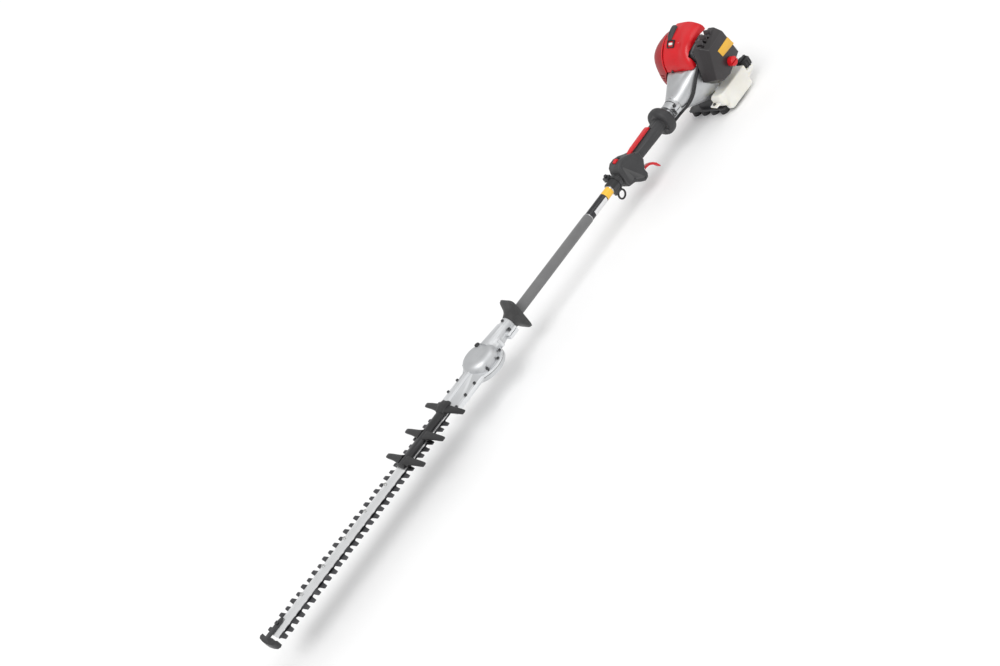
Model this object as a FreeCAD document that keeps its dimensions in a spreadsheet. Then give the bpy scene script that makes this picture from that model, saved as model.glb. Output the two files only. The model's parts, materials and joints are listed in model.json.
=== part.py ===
import FreeCAD, Part
import math
import os
import Sketcher

# Petrol long-reach hedge trimmer.
# Working axes, in millimetres: X runs along the shaft from the blade tip to the engine, the shaft's
# axis is Y = 0, Z = 0, +Z is up and -Y is the operator's left. The last step moves every sub-part
# so that the origin is under the middle of the tool, on the surface that the engine stand rests on.

V = FreeCAD.Vector
ALONG = {
    "X": FreeCAD.Rotation(V(0, 1, 0), 90),
    "Y": FreeCAD.Rotation(V(1, 0, 0), -90),
    "Z": FreeCAD.Rotation(),
}

doc = FreeCAD.newDocument("hedge_trimmer")
sheet = doc.addObject("Spreadsheet::Sheet", "Sizes")
parts = {}


# ---------------------------------------------------------------- sizes and helpers

class Length:
    """A size that carries its number and its formula in the sheet."""

    def __init__(self, number, formula):
        self.number = float(number)
        self.formula = formula

    def __add__(self, other):
        return Length(self.number + number_of(other), "(%s + %s)" % (self.formula, formula_of(other)))

    def __radd__(self, other):
        return self + other

    def __sub__(self, other):
        return Length(self.number - number_of(other), "(%s - %s)" % (self.formula, formula_of(other)))

    def __rsub__(self, other):
        return Length(number_of(other) - self.number, "(%s - %s)" % (formula_of(other), self.formula))

    def __mul__(self, other):
        return Length(self.number * number_of(other), "(%s * %s)" % (self.formula, formula_of(other)))

    def __rmul__(self, other):
        return self * other

    def __truediv__(self, other):
        return Length(self.number / number_of(other), "(%s / %s)" % (self.formula, formula_of(other)))

    def __neg__(self):
        return Length(-self.number, "(0 - %s)" % self.formula)


def number_of(size):
    return size.number if isinstance(size, Length) else float(size)


def formula_of(size):
    return size.formula if isinstance(size, Length) else "%.6g" % size


class Sizes:
    """Names for the sheet's cells: Sizes.add stores a number, and the name then works as a Length."""

    def __init__(self):
        self.row = 1

    def add(self, **named):
        for name, number in named.items():
            cell = "B%d" % self.row
            sheet.set("A%d" % self.row, name)
            sheet.set(cell, "%.6g" % number)
            sheet.setAlias(cell, name)
            setattr(self, name, Length(number, "Sizes." + name))
            self.row += 1


def bind(feature, path, size):
    """Tie one property of a feature to its formula, when it has one."""
    if isinstance(size, Length):
        feature.setExpression(path, size.formula)


def place(feature, at, axis="Z", turn=None):
    """Put a feature at a point, along an axis, with each coordinate tied to the sheet."""
    rotation = turn if turn is not None else ALONG[axis]
    feature.Placement = FreeCAD.Placement(V(*[number_of(c) for c in at]), rotation)
    for letter, coordinate in zip("xyz", at):
        bind(feature, "Placement.Base." + letter, coordinate)
    return feature


def keep(name, feature):
    """Name a finished sub-part; the name is also its file's name."""
    feature.Label = name
    parts[name] = feature
    return feature


def add(kind, hint):
    return doc.addObject(kind, hint)


def box(hint, sides, at, turn=None):
    solid = add("Part::Box", hint)
    for prop, size in zip(("Length", "Width", "Height"), sides):
        setattr(solid, prop, number_of(size))
        bind(solid, prop, size)
    return place(solid, at, turn=turn)


def cylinder(hint, radius, height, at, axis="Z", turn=None):
    solid = add("Part::Cylinder", hint)
    solid.Radius = number_of(radius)
    bind(solid, "Radius", radius)
    solid.Height = number_of(height)
    bind(solid, "Height", height)
    return place(solid, at, axis, turn)


def cone(hint, radius_from, radius_to, height, at, axis="Z"):
    solid = add("Part::Cone", hint)
    for prop, size in (("Radius1", radius_from), ("Radius2", radius_to), ("Height", height)):
        setattr(solid, prop, number_of(size))
        bind(solid, prop, size)
    return place(solid, at, axis)


def torus(hint, ring_radius, wire_radius, at, axis="Z"):
    solid = add("Part::Torus", hint)
    for prop, size in (("Radius1", ring_radius), ("Radius2", wire_radius)):
        setattr(solid, prop, number_of(size))
        bind(solid, prop, size)
    return place(solid, at, axis)


def fuse(hint, *solids):
    joined = add("Part::MultiFuse", hint)
    joined.Shapes = list(solids)
    joined.Refine = False
    return joined


def group(hint, solids):
    """Separate solids that share one file, such as a set of screws."""
    together = add("Part::Compound", hint)
    together.Links = list(solids)
    return together


def cut(hint, base, *tools):
    hollow = add("Part::Cut", hint)
    hollow.Base = base
    hollow.Tool = tools[0] if len(tools) == 1 else fuse(hint + "_tools", *tools)
    hollow.Refine = False
    return hollow


def common(hint, first, second):
    shared = add("Part::Common", hint)
    shared.Base = first
    shared.Tool = second
    shared.Refine = False
    return shared


def solid_feature(hint, shape):
    """A shape made with Part's own functions, for forms that no sketch or primitive gives."""
    feature = add("Part::Feature", hint)
    feature.Shape = shape
    return feature


def new_body(hint):
    return add("PartDesign::Body", hint)


def plane_of(body, role):
    return [item for item in body.Origin.OriginFeatures if item.Role == role][0]


def new_sketch(body, role, hint):
    sketch = body.newObject("Sketcher::SketchObject", hint)
    sketch.AttachmentSupport = [(plane_of(body, role), "")]
    sketch.MapMode = "FlatFace"
    return sketch


def pin_point(sketch, geometry, vertex, point):
    """Fix one point of a sketch by its two coordinates, each tied to the sheet."""
    for kind, coordinate in zip(("DistanceX", "DistanceY"), point):
        index = sketch.addConstraint(
            Sketcher.Constraint(kind, -1, 1, geometry, vertex, number_of(coordinate)))
        bind(sketch, "Constraints[%d]" % index, coordinate)


def add_outline(sketch, points):
    """A closed run of straight lines through the points."""
    first = sketch.GeometryCount
    count = len(points)
    corners = [V(number_of(p[0]), number_of(p[1]), 0) for p in points]
    for index in range(count):
        sketch.addGeometry(Part.LineSegment(corners[index], corners[(index + 1) % count]), False)
    for index in range(count):
        sketch.addConstraint(
            Sketcher.Constraint("Coincident", first + index, 2, first + (index + 1) % count, 1))
    for index in range(count):
        pin_point(sketch, first + index, 1, points[index])


def add_circle(sketch, centre, radius):
    index = sketch.GeometryCount
    middle = V(number_of(centre[0]), number_of(centre[1]), 0)
    sketch.addGeometry(Part.Circle(middle, V(0, 0, 1), number_of(radius)), False)
    pin_point(sketch, index, 3, centre)
    constraint = sketch.addConstraint(Sketcher.Constraint("Radius", index, number_of(radius)))
    bind(sketch, "Constraints[%d]" % constraint, radius)


def turned(name, points, role="XZ_Plane", about="H_Axis", at=(0, 0, 0)):
    """A lathe-turned piece: its half section revolved about the sketch's axis."""
    body = new_body(name)
    sketch = new_sketch(body, role, name + "_section")
    add_outline(sketch, points)
    turn = body.newObject("PartDesign::Revolution", name + "_turn")
    turn.Profile = sketch
    turn.ReferenceAxis = (sketch, [about])
    turn.Angle = 360
    return place(body, at)


def padded(name, role, outlines, length, at=(0, 0, 0), circles=(), symmetric=False):
    """A plate: one or more closed outlines, with round holes, pushed out by a length."""
    body = new_body(name)
    sketch = new_sketch(body, role, name + "_outline")
    for outline in outlines:
        add_outline(sketch, outline)
    for centre, radius in circles:
        add_circle(sketch, centre, radius)
    pad = body.newObject("PartDesign::Pad", name + "_pad")
    pad.Profile = sketch
    pad.Length = number_of(length)
    bind(pad, "Length", length)
    pad.Midplane = symmetric
    return place(body, at)


def rounded(name, feature, radius, wanted):
    """Round the edges that the test picks."""
    doc.recompute()
    edges = [i for i, edge in enumerate(feature.Shape.Edges, 1) if wanted(edge)]
    fillet = add("Part::Fillet", name)
    fillet.Base = feature
    fillet.Edges = [(i, number_of(radius), number_of(radius)) for i in edges]
    return fillet


def runs_along(edge, axis):
    """Whether an edge is a straight one along X, Y or Z."""
    if len(edge.Vertexes) != 2 or not isinstance(edge.Curve, (Part.Line, Part.LineSegment)):
        return False
    direction = edge.tangentAt(edge.FirstParameter)
    return abs(abs(getattr(direction, axis.lower())) - 1) < 1e-6


def screw(hint, head_radius, head_height, shank_radius, shank_length, at, turn):
    """A cap screw with a hexagon socket: the head starts at the point and the shank runs back."""
    head = cylinder(hint + "_head", head_radius, head_height, (0, 0, 0))
    socket = add("Part::Prism", hint + "_socket")
    socket.Polygon = 6
    socket.Circumradius = number_of(head_radius) * 0.5
    socket.Height = number_of(head_height)
    socket.Placement.Base = V(0, 0, number_of(head_height) * 0.4)
    shank = cylinder(hint + "_shank", shank_radius, shank_length, (0, 0, -shank_length))
    whole = cut(hint, fuse(hint + "_blank", head, shank), socket)
    return place(whole, at, turn=turn)


UP = FreeCAD.Rotation()
LEFT = FreeCAD.Rotation(V(1, 0, 0), 90)

S = Sizes()

# Cutting head: every height is below the shaft's axis, so the pinion clears the blades.
S.add(tooth_pitch=38, tooth_count=16, first_tooth=30, tooth_tip_y=39.5, tooth_root_half=10)
S.add(tooth_neck_half=6.6, tooth_tip_half=4.4, blade_half_width=17.8, blade_thickness=2)
S.add(blade_start=22, blade_end=772, blade_top=-8.6, blade_gap=0.2, slot_half_length=11, slot_half_width=2.8)
S.add(bar_start=20, bar_end=690, bar_half_width=17, bar_edge_top=-6.8, bar_ridge_top=-2.9)
S.add(bolt_y=7, first_bolt=125, bolt_radius=2.4, yoke_radius=35.5, yoke_opening=31)
S.add(gear_x=800, case_radius=46, case_top=20, flange_radius=55, flange_bottom=-13.2, flange_top=-6)
S.add(holder_start=652, holder_half_width=38, cavity_radius=44, cover_bottom=-26)
S.add(neck_radius=17, neck_end=918, tube_radius=12, tube_wall=1.5, tube_start=862, tube_end=1666)
S.add(shaft_radius=3, running_gap=0.05)
# Shaft and handles
S.add(sleeve_start=951, sleeve_end=1268, sleeve_radius=13.4)
S.add(hanger_start=1367, hanger_length=32, hanger_radius=17, eye_radius=9, eye_wire=2.6)
S.add(grip_front=1405, grip_half_width=21, handle_start=1470, handle_end=1602, flange_length=28)
S.add(handle_radius=17.5, handle_end_radius=20, hand_flange_radius=39)
# Engine, round the crankshaft's axis
S.add(case_start=1642, clamp_radius=22.5, fan_radius=66, fan_end=1785, drum_radius=30, wheel_radius=47)
S.add(crankcase_start=1787, crankcase_end=1856, crankcase_radius=36, cylinder_x=1817, bore_radius=17.5)
S.add(stroke=26, plug_y=16, recoil_start=1859, recoil_radius=48, floor_z=-108)
S.add(case_flat_top=50, reel_offset=13, rope_z=25)

BLADE_BOLTS = 7


def at_bolts():
    """Places of the bolts that hold bar and blades together, two tooth pitches apart."""
    return [S.first_bolt + S.tooth_pitch * 2 * k for k in range(BLADE_BOLTS)]


# ---------------------------------------------------------------- cutting head

def tooth(side, centre):
    """One blunt tooth as an outline; side is 1 for +Y and -1 for -Y."""
    half = [
        (S.tooth_root_half, S.blade_half_width - 1),
        (S.tooth_neck_half, S.blade_half_width + 3.5),
        (S.tooth_tip_half, S.tooth_tip_y - 1.2),
        (S.tooth_tip_half - 1.4, S.tooth_tip_y),
    ]
    right = [(centre + x, y * side) for x, y in half]
    left = [(centre - x, y * side) for x, y in reversed(half)]
    return right + left


def blade(name, first_tooth, bottom):
    """A toothed steel blade with bolt slots and the ring that the crown gear's eccentric drives."""
    body = new_body(name)
    strip = new_sketch(body, "XY_Plane", name + "_strip")
    width = S.blade_half_width
    add_outline(strip, [
        (S.blade_start, -width + 5),
        (S.blade_start + 5, -width),
        (S.holder_start + 20, -width),
        (S.holder_start + 45, -width + 6),
        (S.blade_end, -width + 6),
        (S.blade_end, width - 6),
        (S.holder_start + 45, width - 6),
        (S.holder_start + 20, width),
        (S.blade_start + 5, width),
        (S.blade_start, width - 5),
    ])
    for x in at_bolts():
        left, right = x - S.slot_half_length, x + S.slot_half_length
        low, high = S.bolt_y - S.slot_half_width, S.bolt_y + S.slot_half_width
        add_outline(strip, [(left, low), (right, low), (right, high), (left, high)])
    pad = body.newObject("PartDesign::Pad", name + "_plate")
    pad.Profile = strip
    bind(pad, "Length", S.blade_thickness)
    teeth = new_sketch(body, "XY_Plane", name + "_tooth")
    for side in (-1, 1):
        add_outline(teeth, tooth(side, first_tooth))
    tooth_pad = body.newObject("PartDesign::Pad", name + "_tooth_pad")
    tooth_pad.Profile = teeth
    bind(tooth_pad, "Length", S.blade_thickness)
    row = body.newObject("PartDesign::LinearPattern", name + "_teeth")
    row.Originals = [tooth_pad]
    row.Direction = (strip, ["H_Axis"])
    row.Length = (S.tooth_pitch * (S.tooth_count - 1)).number
    bind(row, "Length", S.tooth_pitch * (S.tooth_count - 1))
    row.Occurrences = int(S.tooth_count.number)
    bind(row, "Occurrences", S.tooth_count)
    body.Tip = row
    place(body, (0, 0, bottom))
    yoke = cylinder(name + "_yoke", S.yoke_radius, S.blade_thickness, (S.gear_x, 0, bottom))
    opening = cylinder(name + "_yoke_hole", S.yoke_opening, S.blade_thickness * 3,
                       (S.gear_x, 0, bottom - S.blade_thickness))
    keep(name, cut(name + "_cut", fuse(name + "_joined", body, yoke), opening))


def make_blades():
    upper_bottom = S.blade_top - S.blade_thickness
    lower_bottom = upper_bottom - S.blade_gap - S.blade_thickness
    blade("upper_blade", S.first_tooth, upper_bottom)
    blade("lower_blade", S.first_tooth + S.tooth_pitch / 2, lower_bottom)


def make_guide_bar():
    """The aluminium bar above the blades, with a shallow ridge along its middle."""
    bottom = S.blade_top + S.blade_gap
    section = [
        (-S.bar_half_width, bottom),
        (S.bar_half_width, bottom),
        (S.bar_half_width, S.bar_edge_top),
        (2, S.bar_ridge_top),
        (-2, S.bar_ridge_top),
        (-S.bar_half_width, S.bar_edge_top),
    ]
    bar = padded("guide_bar_extrusion", "YZ_Plane", [section], S.bar_end - S.bar_start, (S.bar_start, 0, 0))
    holes = [cylinder("bar_hole", S.bolt_radius + 0.1, 20, (x, S.bolt_y, -18)) for x in at_bolts()]
    keep("guide_bar", cut("guide_bar_cut", bar, *holes))


def make_blade_bolts():
    """Slotted bolts through bar and blades, and the locknuts under them."""
    bolts = []
    nuts = []
    nut_top = S.blade_top - 2 * S.blade_thickness - S.blade_gap - 0.3
    for x in at_bolts():
        head = cylinder("blade_bolt_head", 4.2, 2.6, (x, S.bolt_y, S.bar_ridge_top))
        slot = box("blade_bolt_slot", (1.2, 9, 1), (x - 0.6, S.bolt_y - 4.5, S.bar_ridge_top + 1.8))
        shank = cylinder("blade_bolt_shank", S.bolt_radius, 17, (x, S.bolt_y, S.bar_ridge_top - 16.2))
        bolts.append(cut("blade_bolt", fuse("blade_bolt_blank", head, shank), slot))
        nut = add("Part::Prism", "blade_nut_blank")
        nut.Circumradius = 4.6
        nut.Height = 4
        place(nut, (x, S.bolt_y, nut_top - 4))
        hole = cylinder("blade_nut_hole", S.bolt_radius, 8, (x, S.bolt_y, nut_top - 6))
        nuts.append(cut("blade_nut", nut, hole))
    keep("blade_bolts", group("blade_bolt_set", bolts))
    keep("blade_nuts", group("blade_nut_set", nuts))


def make_tip_protector():
    """The bumper across the blade's end and its stem, which lies on the guide bar."""
    front = [
        (12.5, -33), (6, -36), (0.5, -31), (-2.8, -17), (-4, 0), (-2.8, 17),
        (0.5, 31), (6, 36), (12.5, 33), (9.5, 20), (12.5, 13), (12.5, -13), (9.5, -20),
    ]
    plate = padded("protector_plate", "XY_Plane", [front], 15, (0, 0, -15))
    stem = padded("protector_stem", "XY_Plane", [[
        (8, 1), (52, 1), (62, 5), (62, 12), (52, 15.5), (8, 15.5)]], 3.4, (0, 0, -2.7))
    bridge = box("protector_bridge", (6, 14.5, 4), (7, 1, -3.3))
    hole = cylinder("protector_hole", 2.5, 10, (45, 8, -6))
    keep("tip_protector", cut("tip_protector_cut", fuse("protector_joined", plate, stem, bridge), hole))


def oval_wire(centre, axis_u, axis_v, half_u, half_v, power):
    """A closed smooth wire between an ellipse (power 2) and a box (large power)."""
    points = []
    steps = 24
    for k in range(steps):
        angle = 2 * math.pi * k / steps
        cosine, sine = math.cos(angle), math.sin(angle)
        u = half_u * math.copysign(abs(cosine) ** (2 / power), cosine)
        v = half_v * math.copysign(abs(sine) ** (2 / power), sine)
        points.append(centre + axis_u * u + axis_v * v)
    curve = Part.BSplineCurve()
    curve.interpolate(points, True)
    return Part.Wire([curve.toShape()])


def loft(sections):
    """A closed solid through the sections."""
    return Part.makeLoft(sections, True, False)


def make_blade_guard():
    """A roof over the bar with three pairs of drooping arms that keep stems off the hands' side."""
    start, end = 480, 668
    section = [(-14, -3.6), (0, -1.6), (18.4, -4.9), (18.4, -2), (11, 2.2), (4, 4.6), (-5, 4.6), (-14, 0)]
    roof = padded("guard_roof", "YZ_Plane", [section], end - start, (start, 0, 0))
    doc.recompute()
    pieces = [roof.Shape.copy()]
    stations = ((8, 1.4, 13, 4.2, 0), (30, 0.6, 9.5, 4.2, 1), (46, -0.2, 8, 4.2, 2), (62, -1.2, 7, 4, 2.5),
                (73, -2.2, 6, 3.2, 3))
    for arm_x in (497, 571, 650):
        for side in (-1, 1):
            rings = [oval_wire(V(arm_x + sweep, side * y, z), V(1, 0, 0), V(0, 0, 1), half_x, half_z, 3)
                     for y, z, half_x, half_z, sweep in stations]
            pieces.append(loft(rings))
    cap_rings = [oval_wire(V(x, 0, 1.5), V(0, 1, 0), V(0, 0, 1), half_y, half_z, 4)
                 for x, half_y, half_z in ((636, 14, 4), (648, 16, 8), (662, 16, 9), (669, 14, 7))]
    pieces.append(loft(cap_rings))
    whole = pieces[0].multiFuse(pieces[1:])
    hollow = Part.makeBox(300, 2 * 17.3, 12, V(450, -17.3, -20))
    under_bar = padded("guard_clearance", "YZ_Plane", [[
        (-17.4, -20), (17.4, -20), (17.4, -6.3), (2.2, -2.4), (-2.2, -2.4), (-17.4, -6.3)]], 300,
        (450, 0, 0))
    on_holder = padded("guard_holder_room", "YZ_Plane", [[
        (-38.3, -20), (38.3, -20), (38.3, -6.3), (10.1, 4.25), (8.3, 4.25), (5.8, 9.3), (-5.8, 9.3),
        (-8.3, 4.25), (-10.1, 4.25), (-38.3, -6.3)]], 50, (S.holder_start - 0.3, 0, 0))
    doc.recompute()
    teeth_room = Part.makeBox(300, 2 * 41, 30, V(450, -41, -38.2))
    whole = whole.cut(under_bar.Shape).cut(hollow).cut(teeth_room).cut(on_holder.Shape)
    bolt_room = [Part.makeCylinder(4.8, 30, V(x.number, S.bolt_y.number, -20)) for x in at_bolts()]
    keep("blade_guard", solid_feature("blade_guard_shape", whole.cut(bolt_room)))


def make_gear_case():
    """Cast upper housing: blade holder in front, gear dome in the middle, split clamp behind."""
    width = S.holder_half_width
    holder = padded("gear_case_holder", "YZ_Plane", [[
        (-width, S.flange_bottom), (width, S.flange_bottom), (width, -6.5), (10, 4), (-10, 4),
        (-width, -6.5)]],
        S.gear_x - S.holder_start, (S.holder_start, 0, 0))
    rib = padded("gear_case_rib", "YZ_Plane", [[(-8, 2), (8, 2), (5.5, 9), (-5.5, 9)]],
                 S.gear_x - S.holder_start - 4, (S.holder_start + 4, 0, 0))
    dome = cylinder("gear_case_dome", S.case_radius, S.case_top - S.flange_top, (S.gear_x, 0, S.flange_top))
    dome = rounded("gear_case_dome_round", dome, 18,
                   lambda e: abs(e.CenterOfMass.z - S.case_top.number) < 0.1)
    flange = cylinder("gear_case_flange", S.flange_radius, S.flange_top - S.flange_bottom,
                      (S.gear_x, 0, S.flange_bottom))
    neck = cylinder("gear_case_neck", S.neck_radius, S.neck_end - S.gear_x, (S.gear_x, 0, 0), "X")
    taper = cone("gear_case_taper", 24, 19.5, 66, (S.gear_x + 30, 0, 0), "X")
    ear = box("gear_case_ear", (30, 22, 17), (S.neck_end - 36, -30, -16))
    foot = cylinder("gear_case_foot", 7, 21, (S.gear_x + 58, -18, S.flange_bottom))
    plug_boss = cylinder("gear_case_plug_boss", 8, 8, (S.gear_x + 26, 18, 12.5))
    solid = fuse("gear_case_solid", holder, rib, dome, flange, neck, taper, ear, foot, plug_boss)
    gears = cylinder("gear_case_room", S.cavity_radius, 17 - S.flange_bottom, (S.gear_x, 0, S.flange_bottom))
    gears = rounded("gear_case_room_round", gears, 11, lambda e: abs(e.CenterOfMass.z - 17) < 0.1)
    post = cylinder("gear_case_post_bore", 5.05, 22, (S.gear_x, 0, -3))
    bearing = cylinder("gear_case_bearing_bore", 11, 30, (S.gear_x + 40, 0, 0), "X")
    tube = cylinder("gear_case_tube_bore", S.tube_radius, 80, (S.tube_start, 0, 0), "X")
    blades = box("gear_case_blade_room", (150, 38, 6), (S.holder_start - 2, -19, S.flange_bottom))
    bar = box("gear_case_bar_room", (S.bar_end - S.holder_start + 2.5, 34.4, 11),
              (S.holder_start - 2, -17.2, -13.2))
    under = box("gear_case_under", (160, 120, 20), (S.gear_x - 102, -60, S.flange_bottom - 20))
    slit = box("gear_case_slit", (38, 40, 1.6), (S.neck_end - 37, -40, -7))
    pinch = cylinder("gear_case_pinch_bore", 2.6, 30, (S.neck_end - 22, -24, -20))
    key = cylinder("gear_case_key_bore", 2.4, 12, (S.neck_end - 10, 0, 11))
    plug = cylinder("gear_case_plug_bore", 5, 14, (S.gear_x + 26, 18, 9))
    bolts = [cylinder("gear_case_bolt_bore", 2, 30, (x, y, -20)) for x, y in case_bolt_places()]
    tools = (gears, post, bearing, tube, blades, bar, under, slit, pinch, key, plug)
    keep("gear_case", cut("gear_case_cut", solid, *tools, *bolts))


def case_bolt_places():
    """Where the cover's bolts stand: round the flange, then along the holder's edges."""
    places = []
    for degrees in (39, 72, 115, 245, 288, 321):
        angle = math.radians(degrees)
        places.append((S.gear_x + 50.5 * math.cos(angle), 50.5 * math.sin(angle)))
    for x in (664, 700, 736):
        for side in (-1, 1):
            places.append((Length(x, "%g" % x), 33.5 * side))
    return places


def make_gear_case_cover():
    plate = box("cover_plate", (S.gear_x - S.holder_start, 2 * S.holder_half_width, 4),
                (S.holder_start, -S.holder_half_width, S.flange_bottom - 4))
    pan = cylinder("cover_pan", S.flange_radius, S.flange_bottom - S.cover_bottom,
                   (S.gear_x, 0, S.cover_bottom))
    pan = rounded("cover_pan_round", pan, 5, lambda e: abs(e.CenterOfMass.z - S.cover_bottom.number) < 0.1)
    post = cylinder("cover_post_bore", 5.05, 9, (S.gear_x, 0, S.flange_bottom - 8))
    bolts = [cylinder("cover_bolt_bore", 2, 4, (x, y, S.flange_bottom - 3)) for x, y in case_bolt_places()]
    keep("gear_case_cover", cut("cover_cut", fuse("cover_joined", plate, pan), post, *bolts))
    screws = []
    for x, y in case_bolt_places():
        head_z = -1.5 if number_of(x) < S.gear_x.number else S.flange_top
        screws.append(screw("case_screw", 3.6, 3, 2, 8, (x, y, head_z), UP))
    keep("gear_case_screws", group("case_screw_set", screws))


def make_gear_case_fittings():
    places = ((S.neck_end - 22, -24, 1), (S.hanger_start + 23, 18, 21.1), (S.case_start + 10, -28, 14))
    keep("clamp_screws",
         group("clamp_screw_set", [screw("clamp_screw", 4.4, 5, 2.5, 16, at, UP) for at in places]))
    places = ((S.neck_end - 10, 0, 17), (45, 8, 0.75))
    keep("small_screws", group("small_screw_set", [screw("small_screw", 3.8, 2.6, 2.4, 3.4, at, UP)
                                                   for at in places]))
    head = cylinder("grease_plug_head", 6.5, 3, (S.gear_x + 26, 18, 20.5))
    thread = cylinder("grease_plug_thread", 4.9, 5, (S.gear_x + 26, 18, 15.5))
    slot = box("grease_plug_slot", (14, 1.6, 1.6), (S.gear_x + 19, 17.2, 22))
    keep("grease_plug", cut("grease_plug_cut", fuse("grease_plug_blank", head, thread), slot))


CROWN_TEETH = 40
PINION_TEETH = 12


def make_gears():
    """Crown gear with the two eccentrics that drive the blades, and the pinion on the shaft's end."""
    mesh_z = 8.2
    disc = cylinder("crown_disc", 34, 4, (S.gear_x, 0, mesh_z + 2.6))
    hub = cylinder("crown_hub", 8, 24, (S.gear_x, 0, -13))
    top_pin = cylinder("crown_top_pin", 5, 3.6, (S.gear_x, 0, mesh_z + 6.6))
    low_pin = cylinder("crown_low_pin", 5, 8.5, (S.gear_x, 0, -20.5))
    upper = cylinder("upper_eccentric", 14, 1.8, (S.gear_x, 8, S.blade_top - 1.9))
    lower = cylinder("lower_eccentric", 14, 1.8, (S.gear_x, -8, S.blade_top - 4.1))
    teeth = []
    for k in range(CROWN_TEETH):
        angle = 360 * (k + 0.5) / CROWN_TEETH
        turn = FreeCAD.Rotation(V(0, 0, 1), angle)
        corner = turn.multVec(V(26, -0.9, 0))
        teeth.append(box("crown_tooth", (8, 1.8, 2.8), (S.gear_x + corner.x, corner.y, mesh_z), turn))
    keep("crown_gear", fuse("crown_joined", disc, hub, top_pin, low_pin, upper, lower, *teeth))
    outline = []
    for k in range(PINION_TEETH):
        for radius, part_of_pitch in ((6.2, 0.0), (8.0, 0.22), (8.0, 0.48), (6.2, 0.7)):
            angle = 2 * math.pi * (k + part_of_pitch) / PINION_TEETH
            outline.append((radius * math.cos(angle), radius * math.sin(angle)))
    keep("pinion", padded("pinion_body", "YZ_Plane", [outline], 10, (S.gear_x + 24, 0, 0),
                          [((0, 0), S.shaft_radius)]))


def ring(name, start, length, outer, inner):
    """A plain ring or tube round the shaft's axis."""
    return turned(name, [(0, inner), (length, inner), (length, outer), (0, outer)], at=(start, 0, 0))


def make_bearings():
    """Pinion, clutch drum and the two crankshaft bearings."""
    gap = S.running_gap
    keep("bearings", group("bearing_set", [
        ring("pinion_bearing", S.gear_x + 46, 12, 11, S.shaft_radius + gap),
        ring("drum_bearing", S.case_start + 56, 8, 14, gap + 8),
        ring("crank_front_bearing", S.crankcase_start + 0.5, 8, 13, gap + 6),
        ring("crank_rear_bearing", S.crankcase_end - 8.5, 8, 13, gap + 6)]))


# ---------------------------------------------------------------- shaft and handles

def make_shaft():
    keep("main_tube", ring("main_tube_body", S.tube_start, S.tube_end - S.tube_start, S.tube_radius,
                           S.tube_radius - S.tube_wall))
    length = 1700 - S.gear_x - 24
    keep("drive_shaft", cylinder("drive_shaft_rod", S.shaft_radius, length, (S.gear_x + 24, 0, 0), "X"))
    bushes = []
    for k in range(5):
        x = S.tube_start + 60 + 165 * k
        bushes.append(ring("shaft_bush", x, 18, S.tube_radius - S.tube_wall, S.shaft_radius + S.running_gap))
    keep("shaft_bushes", group("shaft_bush_set", bushes))


def make_hand_guard():
    """Soft rubber flange that keeps the front hand off the gear case: upright, with a dished rim."""
    outside = ((918.2, 18.5, 18.5, 2), (921, 20, 20, 2), (931, 21.5, 24, 2.6), (938, 24, 33, 4),
               (944, 27, 43, 6))
    rim = ((944, 27, 43, 6), (949, 28, 44.5, 6))
    rings = []
    for x, half_width, half_height, squareness in outside:
        rings.append(oval_wire(V(x, 0, 0), V(0, 1, 0), V(0, 0, 1), half_width, half_height, squareness))
    lip = [oval_wire(V(x, 0, 0), V(0, 1, 0), V(0, 0, 1), half_width, half_height, squareness)
           for x, half_width, half_height, squareness in rim]
    dish = [oval_wire(V(x, 0, 0), V(0, 1, 0), V(0, 0, 1), half_width, half_height, squareness)
            for x, half_width, half_height, squareness in ((942, 16, 18, 3), (949.1, 24.5, 41, 6))]
    whole = loft(rings).fuse(loft(lip)).cut(loft(dish))
    hub = Part.makeCylinder(15, 30, V(920, 0, 0), V(1, 0, 0))
    bore = Part.makeCylinder(S.tube_radius.number, 60, V(900, 0, 0), V(1, 0, 0))
    keep("hand_guard", solid_feature("hand_guard_shape", whole.fuse(hub).cut(bore)))


def make_grip_sleeve():
    length = S.sleeve_end - S.sleeve_start
    outer = S.sleeve_radius
    keep("grip_sleeve", turned("grip_sleeve_body", [
        (0, S.tube_radius), (length, S.tube_radius), (length, outer - 0.8), (length - 3, outer),
        (2, outer), (0, outer - 0.8)], at=(S.sleeve_start, 0, 0)))


def make_hanger():
    """Split harness clamp round the tube, its screw, and the eye for the strap's hook."""
    middle = S.hanger_start + S.hanger_length / 2
    body = cylinder("hanger_body", S.hanger_radius, S.hanger_length, (S.hanger_start, 0, 0), "X")
    collar = cylinder("hanger_collar", S.hanger_radius + 2.5, 10, (S.hanger_start + 22, 0, 0), "X")
    ear_top = box("hanger_ear_top", (16, 16, 12), (S.hanger_start + 15, 9, 9))
    lug = box("hanger_lug", (26, 7, 12), (S.hanger_start + 3, -3.5, -25))
    bore = cylinder("hanger_bore", S.tube_radius, 60, (S.hanger_start - 10, 0, 0), "X")
    hook_bore = cylinder("hanger_eye_bore", S.eye_radius + 0.6, 12, (middle + 4, -6, -35.5), "Y")
    slit = box("hanger_slit", (60, 30, 1.6), (S.hanger_start - 10, 6, 11.5))
    pinch = cylinder("hanger_pinch_bore", 2.6, 40, (S.hanger_start + 23, 18, -2))
    eye = torus("hanger_eye", S.eye_radius + S.eye_wire, S.eye_wire, (middle + 4, 0, -35.5), "Y")
    keep("harness_clamp", cut("harness_clamp_cut", fuse("harness_joined", body, collar, ear_top, lug, eye),
                              bore, hook_bore, slit, pinch))


def grip_outline():
    """Side view of the switch housing, in X and Z, starting at its front on the underside."""
    x = S.grip_front
    return [
        (x + 3, -30), (x + 24, -36), (x + 40, -50), (x + 52, -58), (x + 64, -57), (x + 71, -48),
        (x + 70, -36), (x + 78, -22), (x + 84, -14), (x + 84, 14), (x + 66, 22), (x + 48, 32),
        (x + 32, 37), (x + 16, 37), (x + 5, 30), (x, 16), (x, -18),
    ]


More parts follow.
